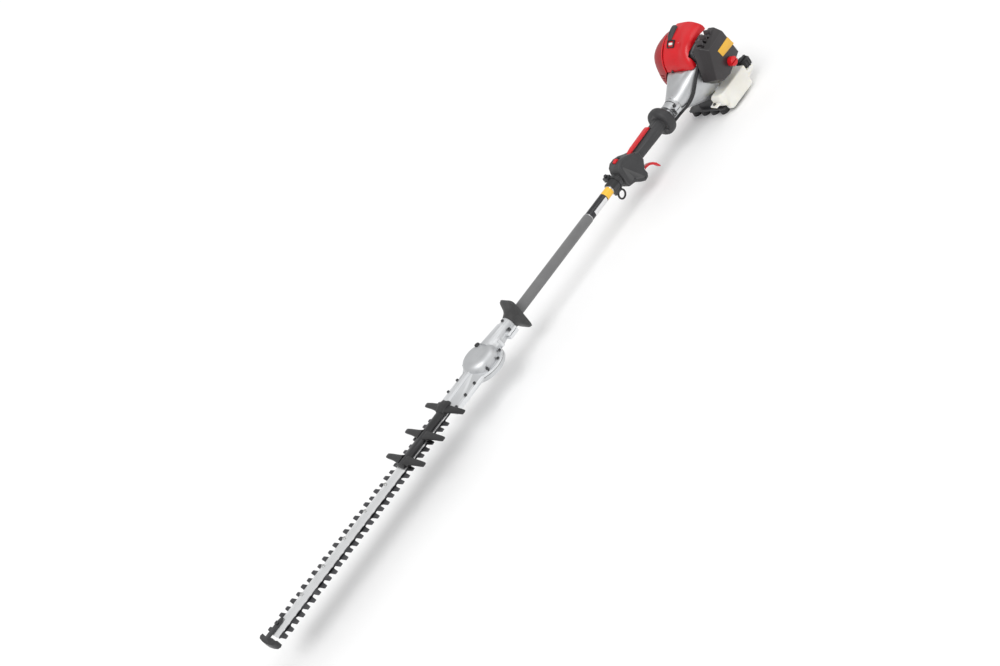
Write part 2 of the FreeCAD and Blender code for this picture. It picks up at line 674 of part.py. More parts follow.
def make_rear_grip():
    """Throttle handle: two moulded halves split on the tool's middle plane."""
    housing = padded("grip_housing", "XZ_Plane", [grip_outline()], 2 * S.grip_half_width, symmetric=True)
    housing = rounded("grip_housing_round", housing, 7,
                      lambda e: abs(abs(e.CenterOfMass.y) - S.grip_half_width.number) < 0.1)
    handle = cone("grip_handle", S.handle_radius, S.handle_end_radius, S.handle_end - S.handle_start,
                  (S.handle_start, 0, 0), "X")
    flange = cylinder("grip_flange", S.hand_flange_radius, S.flange_length, (S.handle_end - 2, 0, 0), "X")
    flange = rounded("grip_flange_round", flange, 11, lambda e: e.Length > 100)
    solid = fuse("grip_solid", housing, handle, flange)
    bore = cylinder("grip_bore", S.tube_radius, 400, (S.grip_front - 50, 0, 0), "X")
    cable = cylinder("grip_cable_bore", 4.2, 60, (S.handle_end - 6, -22, -16), "X")
    trigger_room = box("grip_trigger_room", (46, 12, 40), (S.grip_front + 54, -6, -60))
    lever_room = box("grip_lever_room", (102, 15, 12), (S.grip_front + 62, -7.5, 13))
    switch_room = box("grip_switch_room", (24, 13, 14), (S.grip_front + 14, -6.5, 26))
    pivot = cylinder("grip_pivot_bore", 2, 60, (S.grip_front + 68, -30, -32), "Y")
    lever_pin = cylinder("grip_lever_pin_bore", 1.5, 60, (S.grip_front + 70, -30, 18.5), "Y")
    screw_bores = []
    for x, z in grip_screw_places():
        screw_bores.append(cylinder("grip_screw_bore", 3.4, 12, (x, -30, z), "Y"))
        screw_bores.append(cylinder("grip_screw_shank_bore", 1.7, 42, (x, -20, z), "Y"))
    whole = cut("grip_cut", solid, bore, cable, trigger_room, lever_room, switch_room, pivot, lever_pin,
                *screw_bores)
    left = box("grip_left_space", (400, 100, 300), (S.grip_front - 50, -100, -150))
    right = box("grip_right_space", (400, 100, 300), (S.grip_front - 50, 0, -150))
    keep("rear_grip_left", common("grip_left_half", whole, left))
    keep("rear_grip_right", common("grip_right_half", whole, right))


def grip_screw_places():
    x = S.grip_front
    return [(x + 26, -26), (x + 12, 24), (x + 54, -48), (x + 100, -14.8), (x + 168, -16.2)]


def make_grip_fittings():
    screws = [screw("grip_screw", 3.3, 2.4, 1.6, 34, (x, -18.4, z), LEFT) for x, z in grip_screw_places()]
    keep("grip_screws", group("grip_screw_set", screws))
    pins = [
        cylinder("trigger_pin", 1.9, 2 * S.grip_half_width - 4,
                 (S.grip_front + 68, 2 - S.grip_half_width, -32), "Y"),
        cylinder("lever_pin", 1.4, 30, (S.grip_front + 70, -15, 18.5), "Y"),
    ]
    keep("grip_pins", group("grip_pin_set", pins))


def make_controls():
    """Trigger, lockout lever and stop switch."""
    x = S.grip_front
    trigger = padded("trigger_blade", "XZ_Plane", [[
        (x + 62, -30), (x + 66, -26.5), (x + 72, -27), (x + 80, -35), (x + 90, -39), (x + 98, -41),
        (x + 110, -48), (x + 119, -58), (x + 125, -72), (x + 123.5, -75), (x + 121, -73), (x + 114, -61),
        (x + 106, -53), (x + 96, -46.5), (x + 84, -44), (x + 74, -45), (x + 64, -40)]], 10.5, symmetric=True)
    bore = cylinder("trigger_bore", 1.95, 30, (x + 68, -15, -32), "Y")
    keep("throttle_trigger", cut("throttle_trigger_cut", trigger, bore))
    lever = padded("lever_blade", "XZ_Plane", [[
        (x + 66, 16.5), (x + 72, 15), (x + 76, 19.4), (x + 158, 20.6), (x + 161, 22.6), (x + 160, 25.4),
        (x + 152, 26.4), (x + 84, 24.6), (x + 70, 22.6), (x + 66, 20)]], 13, symmetric=True)
    lever_bore = cylinder("lever_bore", 1.45, 30, (x + 70, -15, 18.5), "Y")
    keep("lockout_lever", cut("lockout_lever_cut", lever, lever_bore))
    cap = padded("switch_cap", "XZ_Plane", [[
        (x + 16, 34), (x + 30, 34), (x + 30, 38), (x + 27, 42), (x + 21, 40),
        (x + 16, 39)]], 11, symmetric=True)
    keep("stop_switch", cap)


# ---------------------------------------------------------------- engine

def case_shoulder(shrink, sections):
    """The squarer part of the clutch casting, widening from the clamp to the engine cover."""
    rings = []
    for x, half_width, half_height, squareness in sections:
        rings.append(oval_wire(V(x, 0, 0), V(0, 1, 0), V(0, 0, 1), half_width - shrink, half_height - shrink,
                               squareness))
    return loft(rings)


SHOULDER = ((1672, 26, 25, 2), (1700, 38, 34, 2.6), (1730, 47, 45, 4), (1750, 52, 50.5, 6),
            (1785, 55, 50.5, 6))


def make_clutch_case():
    """Aluminium clamp, clutch case and fan cover in one casting."""
    inner = S.fan_radius - 3
    end = S.fan_end - S.case_start
    case = turned("clutch_case_body", [
        (0, S.tube_radius), (24.2, S.tube_radius), (24.2, 4.5), (56, 4.5), (56, 14), (64, 14), (64, 33),
        (93, 49), (123, inner), (end, inner), (end, S.fan_radius), (123, S.fan_radius), (93, 52),
        (58, 34), (28, 24), (22, S.clamp_radius), (0, S.clamp_radius)], at=(S.case_start, 0, 0))
    ear = box("clutch_case_ear", (19, 17, 18), (S.case_start + 1, -34, -4))
    upper = box("clutch_case_upper_half", (150, 140, 80), (S.case_start + 20, -70, -12))
    shoulder = common("clutch_case_shoulder", solid_feature("clutch_case_loft", case_shoulder(0, SHOULDER)),
                      upper)
    solid = fuse("clutch_case_solid", case, ear, shoulder)
    room = common("clutch_case_shoulder_room", solid_feature("clutch_case_room", case_shoulder(3, (
        (1706, 40, 37, 2.8), (1730, 47, 45, 4), (1750, 52, 50.5, 6), (1786, 55, 50.5, 6)))), upper)
    top = box("clutch_case_top_trim", (60, 140, 40), (1736, -70, S.case_flat_top))
    air = box("clutch_case_air_window", (36, 64, 20), (1746, -32, 40))
    shaft_way = cylinder("clutch_case_shaft_way", 4.5, 40, (S.case_start + 20, 0, 0), "X")
    pocket = cylinder("clutch_case_bearing_pocket", 14, 12, (S.case_start + 56, 0, 0), "X")
    bore = cylinder("clutch_case_tube_room", S.tube_radius, 24.2, (S.case_start, 0, 0), "X")
    slit = box("clutch_case_slit", (23, 40, 1.6), (S.case_start - 1, -50, 4))
    pinch = cylinder("clutch_case_pinch_bore", 2.6, 40, (S.case_start + 10, -28, -20))
    vents = []
    for k in range(5):
        angle = math.radians(90 + 14 * (k - 2) + 180)
        vents.append(box("clutch_case_vent", (14, 3, 12),
                         (S.case_start + 124, 64 * math.cos(angle) - 1.5, 64 * math.sin(angle) - 6)))
    keep("clutch_case", cut("clutch_case_cut", solid, bore, slit, pinch, room, top, air, shaft_way, pocket,
                            *vents))


def make_clutch():
    x = S.case_start + 56
    drum = turned("clutch_drum_body", [
        (0, 0), (13, 0), (13, 27.5), (40, 27.5), (40, S.drum_radius), (10.5, S.drum_radius), (10.5, 8),
        (0, 8)],
        at=(x, 0, 0))
    bore = cylinder("clutch_drum_bore", S.shaft_radius, 10, (x - 8, 0, 0), "X")
    keep("clutch_drum", cut("clutch_drum_cut", drum, bore))
    blank = cylinder("shoe_ring", 26, 16, (x + 18, 0, 0), "X")
    middle = cylinder("shoe_ring_hole", 9, 30, (x + 10, 0, 0), "X")
    for name, side in (("clutch_shoe_left", -1), ("clutch_shoe_right", 1)):
        half = box(name + "_half", (16, 23, 60), (x + 18, 3 if side > 0 else -26, -30))
        slot = box(name + "_slot", (16.2, 9, 6.2), (x + 17.9, 17 * side - 4.5, -3.1))
        groove = box(name + "_groove", (4, 40, 60), (x + 24, -20, -30))
        keep(name,
             cut(name + "_cut", common(name + "_blank", cut(name + "_ring", blank, middle), half), slot,
                       common(name + "_spring_room", groove, cut(name + "_rim",
                              cylinder(name + "_rim_outer", 27, 4, (x + 24, 0, 0), "X"),
                              cylinder(name + "_rim_inner", 22.5, 4, (x + 24, 0, 0), "X")))))
    spring = torus("clutch_spring_ring", 20, 1, (x + 15.6, 0, 0), "X")
    keep("clutch_spring", spring)


def make_flywheel():
    """Fan wheel on the crankshaft; the two posts on its hub carry the clutch shoes."""
    x = S.fan_end - 35
    disc = turned("flywheel_disc", [
        (-16, 6), (22, 6), (22, S.wheel_radius), (17, S.wheel_radius), (17, 16), (-12, 14), (-12, 22),
        (-16, 22)], at=(x, 0, 0))
    posts = [cylinder("shoe_post", 2.5, 18, (x - 34, 17 * side, 0), "X") for side in (-1, 1)]
    fins = []
    for k in range(14):
        angle = 360 * k / 14
        turn = FreeCAD.Rotation(V(1, 0, 0), angle)
        corner = turn.multVec(V(0, 20, -1.5))
        fins.append(box("flywheel_fin", (16, S.wheel_radius - 20, 3), (x + 2, corner.y, corner.z), turn))
    keep("flywheel_fan", fuse("flywheel_joined", disc, *fins, *posts))


def make_crank():
    """Crankshaft with two webs, the rod on its pin, bearings and piston, drawn at top dead centre."""
    throw = S.stroke / 2
    webs = []
    for x in (1799, 1828):
        web = padded("crank_web", "YZ_Plane", [[
            (-9, 22), (9, 22), (24, -8), (20, -20), (8, -27), (-8, -27), (-20, -20), (-24, -8)]], 8,
            (x, 0, 0))
        webs.append(web)
    front = cylinder("crank_front", 6, 1799 - 1714, (1714, 0, 0), "X")
    rear = cylinder("crank_rear", 6, 1868 - 1836, (1836, 0, 0), "X")
    pin = cylinder("crank_pin", 5, 21, (1807, 0, throw), "X")
    keep("crankshaft", fuse("crankshaft_joined", front, rear, pin, *webs))
    big_end = cylinder("rod_big_end", 9, 10, (1812.5, 0, throw), "X")
    small_end = cylinder("rod_small_end", 5, 10, (1812.5, 0, throw + 22), "X")
    shank = box("rod_shank", (6, 7, 22), (1814.5, -3.5, throw))
    bore = cylinder("rod_bore", 5.05, 30, (1800, 0, throw), "X")
    eye = cylinder("rod_eye", 2.4, 30, (1800, 0, throw + 22), "X")
    keep("connecting_rod", cut("rod_cut", fuse("rod_joined", big_end, small_end, shank), bore, eye))
    crown = cylinder("piston_body", S.bore_radius - 0.05, 24, (S.cylinder_x, 0, 60))
    skirt = cylinder("piston_room", 15, 20, (S.cylinder_x, 0, 60))
    keep("piston", cut("piston_cut", crown, skirt))


def make_crankcase():
    start, end = S.crankcase_start, S.crankcase_end
    barrel = cylinder("crankcase_barrel", S.crankcase_radius, end - start, (start, 0, 0), "X")
    deck = box("crankcase_deck", (52, 52, 46), (S.cylinder_x - 26, -26, 0))
    front = cylinder("crankcase_front_plate", S.fan_radius, 3.6, (S.fan_end + 0.2, 0, 0), "X")
    rear = cylinder("crankcase_rear_plate", S.recoil_radius, 5, (end - 2.2, 0, 0), "X")
    intake = box("crankcase_intake", (28, 28, 27), (S.cylinder_x - 14, -48.2, 10))
    solid = fuse("crankcase_solid", barrel, deck, front, rear, intake)
    room = cylinder("crankcase_room", 30, end - start - 18, (start + 9, 0, 0), "X")
    liner = cylinder("crankcase_liner_bore", 20, 60, (S.cylinder_x, 0, 0))
    axle = cylinder("crankcase_bearing_bore", 13, 90, (start - 10, 0, 0), "X")
    air = box("crankcase_air_window", (8, 76, 60), (S.fan_end - 2, -38, 38))
    port = cylinder("crankcase_intake_port", 7, 40, (S.cylinder_x, -55, 24), "Y")
    trim = box("crankcase_plate_trim", (3.8, 140, 40), (S.fan_end + 0.1, -70, S.case_flat_top))
    keep("crankcase", cut("crankcase_cut", solid, room, liner, axle, air, port, trim))


def make_cylinder():
    """Finned air-cooled cylinder, closed at the top, with a boss for the spark plug."""
    sleeve = cylinder("cylinder_sleeve", 20, 70, (S.cylinder_x, 0, 36))
    base = box("cylinder_base", (50, 50, 6), (S.cylinder_x - 25, -25, 46))
    fins = [cylinder("cylinder_fin", radius, 1.8, (S.cylinder_x, 0, 57 + 6 * k))
            for k, radius in enumerate(8 * [31.5] + [27])]
    boss = cylinder("cylinder_plug_boss", 10, 28, (S.cylinder_x - 30, S.plug_y, 98), "X")
    port = box("cylinder_exhaust_boss", (24, 40, 26), (S.cylinder_x - 12, 0, 58))
    bore = cylinder("cylinder_bore", S.bore_radius, 50, (S.cylinder_x, 0, 35))
    plug = cylinder("cylinder_plug_bore", 5, 16, (S.cylinder_x - 32, S.plug_y, 98), "X")
    outlet = cylinder("cylinder_outlet", 8, 42, (S.cylinder_x, 0, 71), "Y")
    keep("cylinder",
         cut("cylinder_cut", fuse("cylinder_joined", sleeve, base, boss, port, *fins), bore, plug, outlet))


def make_plug():
    thread = cylinder("plug_thread", 4.9, 15, (S.cylinder_x - 33, S.plug_y, 98), "X")
    hexagon = add("Part::Prism", "plug_hexagon")
    hexagon.Circumradius = 9
    hexagon.Height = 7
    place(hexagon, (S.cylinder_x - 40, S.plug_y, 98), "X")
    nose = cylinder("plug_insulator", 4, 9, (S.cylinder_x - 48, S.plug_y, 98), "X")
    keep("spark_plug", fuse("spark_plug_joined", thread, hexagon, nose))
    cap = cylinder("plug_cap_body", 8, 12, (S.cylinder_x - 52.2, S.plug_y, 98), "X")
    room = cylinder("plug_cap_room", 4.3, 12, (S.cylinder_x - 48.5, S.plug_y, 98), "X")
    keep("plug_cap", cut("plug_cap_cut", cap, room))


def cover_outline(inset):
    """Side view of the engine cover in X and Z; inset shrinks it for the inside."""
    bottom = 50.2
    front = 1748 + inset
    return [
        (front, bottom), (front + 3, 72), (front + 15, 93 - inset * 0.4), (front + 32, 107 - inset * 0.8),
        (1802, 117 - inset), (1826, 124 - inset), (1846, 125.5 - inset), (1853 - inset, 123 - inset),
        (1853 - inset, bottom)]


def cover_arch(inset):
    """The cover's roof seen from the front, in Y and Z."""
    return [
        (-52 + inset, 40), (-52 + inset, 90), (-46 + inset, 100 - inset), (-34, 110 - inset),
        (-10, 120 - inset), (14, 126 - inset), (32, 125.5 - inset), (44.7 - inset, 116 - inset),
        (44.7 - inset, 40)]


def make_engine_cover():
    """Moulded top cover over cylinder and plug, open underneath and towards the air cleaner."""
    wall = 2.6
    outer = common("engine_cover_outer",
                   padded("engine_cover_side_view", "XZ_Plane", [cover_outline(0)], 100, (0, 46, 0)),
                   padded("engine_cover_front_view", "YZ_Plane", [cover_arch(0)], 140, (1730, 0, 0)))
    inner = common("engine_cover_inner",
                   padded("engine_cover_room_side_view", "XZ_Plane", [cover_outline(wall)], 100,
                          (0, 46, 0)),
                   padded("engine_cover_room_front_view", "YZ_Plane", [cover_arch(wall)], 140, (1730, 0, 0)))
    side = padded("engine_cover_side_cut", "XZ_Plane", [[
        (1772, 40), (1772, 84), (1822, 94), (1880, 98), (1880, 40)]], 30, (0, -30, 0))
    carb_side = box("engine_cover_rear_cut", (60, 92, 70), (1848, -50, 38))
    hot_side = box("engine_cover_exhaust_window", (44, 12, 46), (1795, 36, 46))
    plug_window = box("engine_cover_plug_window", (46, 24, 22), (1744, S.plug_y - 12, 87))
    keep("engine_cover", cut("engine_cover_cut", outer, inner, side, carb_side, hot_side, plug_window))


def make_muffler():
    box_body = box("muffler_box", (52, 36, 56), (1792, 48, 16))
    box_body = rounded("muffler_box_round", box_body, 6, lambda e: runs_along(e, "Y"))
    stub = cylinder("muffler_inlet", 11, 8, (S.cylinder_x, 40.3, 63), "Y")
    outlet = cylinder("muffler_outlet", 7, 14, (1781, 66, 34), "X")
    gas = cylinder("muffler_outlet_bore", 5, 16, (1780, 66, 34), "X")
    duct = cylinder("muffler_inlet_bore", 6, 10, (S.cylinder_x, 40, 63), "Y")
    keep("muffler", cut("muffler_cut", fuse("muffler_joined", box_body, stub, outlet), gas, duct))
    outer = padded("muffler_cover_outer", "XZ_Plane", [[
        (1742, -6), (1741, 20), (1748, 50), (1756, 74), (1769, 94), (1787, 106), (1808, 112), (1852, 112),
        (1852, -6)]], 52, (0, 97, 0))
    outer = rounded("muffler_cover_round", outer, 16, lambda e: abs(e.CenterOfMass.y - 97) < 0.1)
    inner = padded("muffler_cover_inner", "XZ_Plane", [[
        (1745, -3), (1744.2, 19.8), (1751, 49), (1758.8, 72.6), (1771.2, 91.6), (1788.6, 103.2),
        (1808.6, 109), (1849, 109), (1849, -3)]], 51, (0, 94, 0))
    inner = rounded("muffler_cover_inner_round", inner, 13, lambda e: abs(e.CenterOfMass.y - 94) < 0.1)
    case_room = solid_feature("muffler_cover_case_room", case_shoulder(-0.4, SHOULDER))
    fan_room = cylinder("muffler_cover_fan_room", S.fan_radius + 0.3, 60, (1730, 0, 0), "X")
    slots = [box("muffler_cover_slot", (30, 14, 3), (1728, 77, 2 + 7 * k)) for k in range(5)]
    window = cylinder("muffler_cover_outlet", 9, 60, (1730, 66, 34), "X")
    keep("muffler_cover", cut("muffler_cover_cut", outer, inner, fan_room, case_room, window, *slots))


def air_cleaner_outline(inset):
    """Front view of the air cleaner in X and Z."""
    return [
        (1740 + inset, 14 + inset * 0.6), (1771 + inset * 0.6, 86 - inset), (1841 - inset, 92 - inset),
        (1853 - inset, 12 + inset), (1791, -9 + inset), (1762, -6 + inset)]


def make_air_cleaner():
    back = padded("air_case_plate", "XZ_Plane", [air_cleaner_outline(1)], 5, (0, -61.5, 0))
    throat = cylinder("air_case_throat", 7, 30, (S.cylinder_x, -80, 24), "Y")
    stud = cylinder("air_case_stud", 7, 34, (1811, -98.6, 15), "Y")
    stud_bore = cylinder("air_case_stud_bore", 3.05, 40, (1811, -99, 15), "Y")
    fan_room = cylinder("air_case_fan_room", S.fan_radius + 0.4, 60, (1730, 0, 0), "X")
    keep("air_cleaner_case",
         cut("air_case_cut", fuse("air_case_joined", back, stud), throat, stud_bore, fan_room))
    outer = padded("air_cover_outer", "XZ_Plane", [air_cleaner_outline(0)], 45.2, (0, -66.8, 0))
    outer = rounded("air_cover_round", outer, 8, lambda e: abs(e.CenterOfMass.y + 112) < 0.1)
    inner = padded("air_cover_inner", "XZ_Plane", [air_cleaner_outline(2.4)], 42, (0, -66, 0))
    hole = cylinder("air_cover_hole", 3.3, 30, (1811, -125, 15), "Y")
    keep("air_cleaner_cover", cut("air_cover_cut", outer, inner, hole))
    element = padded("air_filter_body", "XZ_Plane", [air_cleaner_outline(6)], 22, (0, -70, 0))
    room = cylinder("air_filter_stud_room", 7.6, 60, (1811, -110, 15), "Y")
    keep("air_filter", cut("air_filter_cut", element, room))
    knob = cylinder("cover_knob_disc", 12.5, 14, (1811, -126.6, 15), "Y")
    knob = rounded("cover_knob_round", knob, 2, lambda e: abs(e.CenterOfMass.y + 126.6) < 0.1)
    slot = box("cover_knob_slot", (26, 5, 3), (1798, -127, 13.5))
    stem = cylinder("cover_knob_stem", 3, 34, (1811, -113, 15), "Y")
    keep("cover_knob", cut("cover_knob_cut", fuse("cover_knob_joined", knob, stem), slot))


def make_carburettor():
    block = box("carburettor_block", (32, 12.6, 26), (S.cylinder_x - 16, -61.2, 11))
    flow = cylinder("carburettor_bore", 7, 30, (S.cylinder_x, -70, 24), "Y")
    bulb_room = cylinder("carburettor_primer_room", 5.2, 6, (S.cylinder_x + 10.2, -54.9, 24), "X")
    shaft_bore = cylinder("carburettor_lever_bore", 2.05, 5, (S.cylinder_x - 8, -54.9, 33))
    keep("carburettor", cut("carburettor_cut", block, flow, bulb_room, shaft_bore))
    arm = box("throttle_arm", (14, 5, 2), (S.cylinder_x - 18, -57.4, 37.4))
    hub = cylinder("throttle_hub", 4, 2, (S.cylinder_x - 8, -54.9, 37.4))
    spindle = cylinder("throttle_spindle", 2, 6, (S.cylinder_x - 8, -54.9, 33.2))
    keep("carburettor_lever", fuse("carburettor_lever_joined", arm, hub, spindle))
    dome = cylinder("primer_dome", 5, 9, (S.cylinder_x + 14.6, -54.9, 24), "X")
    dome = rounded("primer_dome_round", dome, 3, lambda e: e.CenterOfMass.x > 1840)
    keep("primer_bulb", dome)


def tank_form(hint, inset):
    """The tank's rounded block: its plan, side view and front view pushed through one another."""
    left, right, back, front = -90 + inset, 60 - inset, 1902 - inset, 1744 + inset
    low, high = -86 + inset, -38 - inset
    plan = padded(hint + "_plan", "XY_Plane", [[
        (front, left + 10), (front + 9, left), (1867, left), (1887 - inset, left + 3),
        (back - 3, left + 13),
        (back, left + 28), (back, right - 8), (back - 8, right), (1795 + inset, right),
        (1795 + inset, -48 - inset), (front, -48 - inset)]], 60, (0, 0, -90))
    side = padded(hint + "_side", "XZ_Plane", [[
        (front, high), (front, low + 20), (front + 8, low + 8), (front + 24, low), (1852, low),
        (1876, low + 8),
        (back - 6, low + 25), (back, low + 38), (back, high)]], 200, (0, 80, 0))
    ends = padded(hint + "_front", "YZ_Plane", [[
        (left, high), (left, low + 22), (left + 6, low + 10), (left + 18, low), (right - 10, low),
        (right, low + 10), (right, high)]], 180, (1740, 0, 0))
    return common(hint, common(hint + "_blank", plan, side), ends)


def make_fuel_tank():
    wall = 2.5
    outer = tank_form("tank_outer", 0)
    inner = tank_form("tank_inner", wall)
    round_things = [
        (S.fan_radius, 1730, 70), (S.crankcase_radius, 1780, 90), (S.recoil_radius, 1848, 90)]
    clear = [cylinder("tank_clearance", radius + 1.2, length, (x, 0, 0), "X")
             for radius, x, length in round_things]
    clear.append(box("tank_cap_step", (60, 60, 30), (1862, -100, -58)))
    clear_inside = [cylinder("tank_inside_clearance", radius + 3.7, length + 5, (x - 2.5, 0, 0), "X")
                    for radius, x, length in round_things]
    clear_inside.append(box("tank_inside_step", (60, 65, 30), (1859.5, -100, -60.5)))
    lobe = rounded("tank_lobe_round", box("tank_lobe", (104, 24, 36), (1758, -89, -98)), 9,
                   lambda e: e.CenterOfMass.z < -90 or runs_along(e, "Z") and e.CenterOfMass.z < -70)
    lobe_room = rounded("tank_lobe_room_round", box("tank_lobe_room", (99, 19, 36), (1760.5, -86.5, -95.5)),
                        6,
                        lambda e: e.CenterOfMass.z < -88 or runs_along(e, "Z") and e.CenterOfMass.z < -70)
    shell = cut("tank_shell", fuse("tank_whole", cut("tank_outside", outer, *clear), lobe),
                cut("tank_inside", inner, *clear_inside), lobe_room)
    neck = cylinder("tank_neck", 13, 14, (1884, -68, -61))
    mouth = cylinder("tank_mouth", 11, 20, (1884, -68, -65))
    keep("fuel_tank", cut("fuel_tank_cut", fuse("fuel_tank_joined", shell, neck), mouth))
    cap = cylinder("fuel_cap_body", 17, 20, (1884, -68, -57.6))
    cap = rounded("fuel_cap_round", cap, 2, lambda e: e.CenterOfMass.z > -38)
    ribs = [box("fuel_cap_rib", (3, 3, 17), (1882.5 + 17 * math.cos(math.radians(30 * k)),
                                             -69.5 + 17 * math.sin(math.radians(30 * k)), -57.6))
            for k in range(12)]
    room = cylinder("fuel_cap_room", 13.05, 12, (1884, -68, -58.2))
    keep("fuel_cap", cut("fuel_cap_cut", fuse("fuel_cap_joined", cap, *ribs), room))


def make_stand():
    """Moulded stand: base plate, feet that also bump the front, and a saddle under the fan cover."""
    plate = padded("stand_plate", "XY_Plane", [[
        (1752, -62), (1806, -62), (1846, -50), (1846, 62), (1752, 62)]], 6, (0, 0, -92.6))
    feet = [cylinder("stand_foot", 12.5, -86.6 - S.floor_z, (1766, y, S.floor_z)) for y in
    (-46, -13, 20, 53)]
    feet += [cylinder("stand_rear_foot", 11, -86.6 - S.floor_z, (1834, y, S.floor_z)) for y in (-38, 50)]
    saddle = box("stand_saddle", (18, 60, 34), (1764, -30, -92.6))
    fan = cylinder("stand_fan_room", S.fan_radius, 70, (1730, 0, 0), "X")
    keep("engine_stand", cut("stand_cut", fuse("stand_joined", plate, saddle, *feet), fan))


def make_recoil():
    start = S.recoil_start
    rope_x = start + S.reel_offset + 8
    housing = turned("recoil_body", [
        (0, 45), (32, 45), (42, 37), (42, 6), (12, 6), (12, 0), (46, 0), (46, 39), (34, S.recoil_radius),
        (0, S.recoil_radius)], at=(start, 0, 0))
    guide = cylinder("recoil_guide", 7, 12, (rope_x, 38, S.rope_z), "Y")
    rope = cylinder("recoil_rope_bore", 2.6, 40, (rope_x, 30, S.rope_z), "Y")
    vents = []
    for k in range(8):
        angle = 45 * k + 22.5
        turn = FreeCAD.Rotation(V(1, 0, 0), angle)
        corner = turn.multVec(V(0, 14, -2))
        vents.append(box("recoil_vent", (8, 19, 4), (start + 40, corner.y, corner.z), turn))
    keep("recoil_housing", cut("recoil_cut", fuse("recoil_joined", housing, guide), rope, *vents))
    keep("starter_reel", turned("starter_reel_body", [
        (0, 6.05), (16, 6.05), (16, 34), (13, 34), (13, 26), (3, 26), (3, 34), (0, 34)],
        at=(start + S.reel_offset, 0, 0)))
    keep("starter_cup", turned("starter_cup_body", [
        (0, 6), (7, 6), (7, 15), (11.5, 15), (11.5, 18), (0, 18)], at=(start + 0.4, 0, 0)))
    grip = box("starter_grip", (12, 9, 40), (rope_x - 6, 52, S.rope_z - 20))
    grip = rounded("starter_grip_round", grip, 4, lambda e: runs_along(e, "Z"))
    stem = cone("starter_stem", 6.5, 4.5, 6, (rope_x, 50.4, S.rope_z), "Y")
    keep("starter_handle", fuse("starter_handle_joined", grip, stem))


def make_conduit():
    """Throttle conduit, held at the grip and at the carburettor: straight runs and tangent arcs."""
    corners = [V(1596, -22, -16), V(1650, -22, -16), V(1700, -43, -8), V(1741, -57, 36), V(1786, -56, 64),
               V(1806, -54, 49)]
    radius = 3.9
    edges = []
    start = corners[0]
    for before, corner, after in zip(corners, corners[1:], corners[2:]):
        inward = (corner - before).normalize()
        outward = (after - corner).normalize()
        half_turn = inward.getAngle(outward) / 2
        reach = 0.45 * min((corner - before).Length, (after - corner).Length)
        bend = reach / math.tan(half_turn)
        first = corner - inward * reach
        last = corner + outward * reach
        middle_way = (outward - inward).normalize()
        middle = corner + middle_way * (bend / math.cos(half_turn) - bend)
        edges.append(Part.LineSegment(start, first).toShape())
        edges.append(Part.Arc(first, middle, last).toShape())
        print("conduit bend radius %.1f" % bend)
        start = last
    edges.append(Part.LineSegment(start, corners[-1]).toShape())
    path = Part.Wire(edges)
    ring = Part.Wire([Part.Circle(corners[0], corners[1] - corners[0], radius).toShape()])
    pipe = path.makePipeShell([ring], True, False)
    expected = math.pi * radius ** 2 * path.Length
    print("conduit volume %.0f, section times length %.0f" % (pipe.Volume, expected))
    keep("throttle_conduit", solid_feature("throttle_conduit_shape", pipe))


# ---------------------------------------------------------------- build, place, check and export

def build():
    make_blades()
    make_guide_bar()
    make_blade_bolts()
    make_tip_protector()
    make_blade_guard()
    make_gear_case()
    make_gear_case_cover()
    make_gear_case_fittings()
    make_gears()
    make_bearings()
    make_shaft()
    make_hand_guard()
    make_grip_sleeve()
    make_hanger()
    make_rear_grip()
    make_grip_fittings()
    make_controls()
    make_clutch_case()
    make_clutch()
    make_flywheel()
    make_crank()
    make_crankcase()
    make_cylinder()
    make_plug()
    make_engine_cover()
    make_muffler()
    make_air_cleaner()
    make_carburettor()
    make_fuel_tank()
    make_stand()
    make_recoil()
    make_conduit()


def centre_everything():
    """Move every sub-part so the origin lies under the middle of the tool, on the ground."""
    whole = FreeCAD.BoundBox()
    for feature in parts.values():
        whole.add(feature.Shape.BoundBox)
    shift = V(-round(whole.Center.x, 2), -round(whole.Center.y, 2), -round(whole.ZMin, 2))
    for feature in parts.values():
        for path, formula in list(feature.ExpressionEngine):
            if path.strip(".").startswith("Placement.Base."):
                letter = path[-1]
                feature.setExpression(path, "%s + %.6g" % (formula, getattr(shift, letter)))
        feature.Placement = FreeCAD.Placement(feature.Placement.Base + shift, feature.Placement.Rotation)
    print("moved by %.2f %.2f %.2f" % (shift.x, shift.y, shift.z))


def check_and_export():
    for item in doc.Objects:
        if "Invalid" in item.State or "Error" in item.State:
            raise RuntimeError("not computed: " + item.Name)
    os.makedirs("parts", exist_ok=True)
    for name, feature in parts.items():
        shape = feature.Shape
        if shape.isNull() or not shape.isValid() or not shape.Solids:
            raise RuntimeError("bad shape: " + name)
        shape.exportStep("parts/%s.step" % name)
    print("%d sub-parts" % len(parts))


build()
doc.recompute()
centre_everything()
doc.recompute()
check_and_export()
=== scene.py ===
import bpy
import bmesh
import json
import math
from mathutils import Matrix, Vector


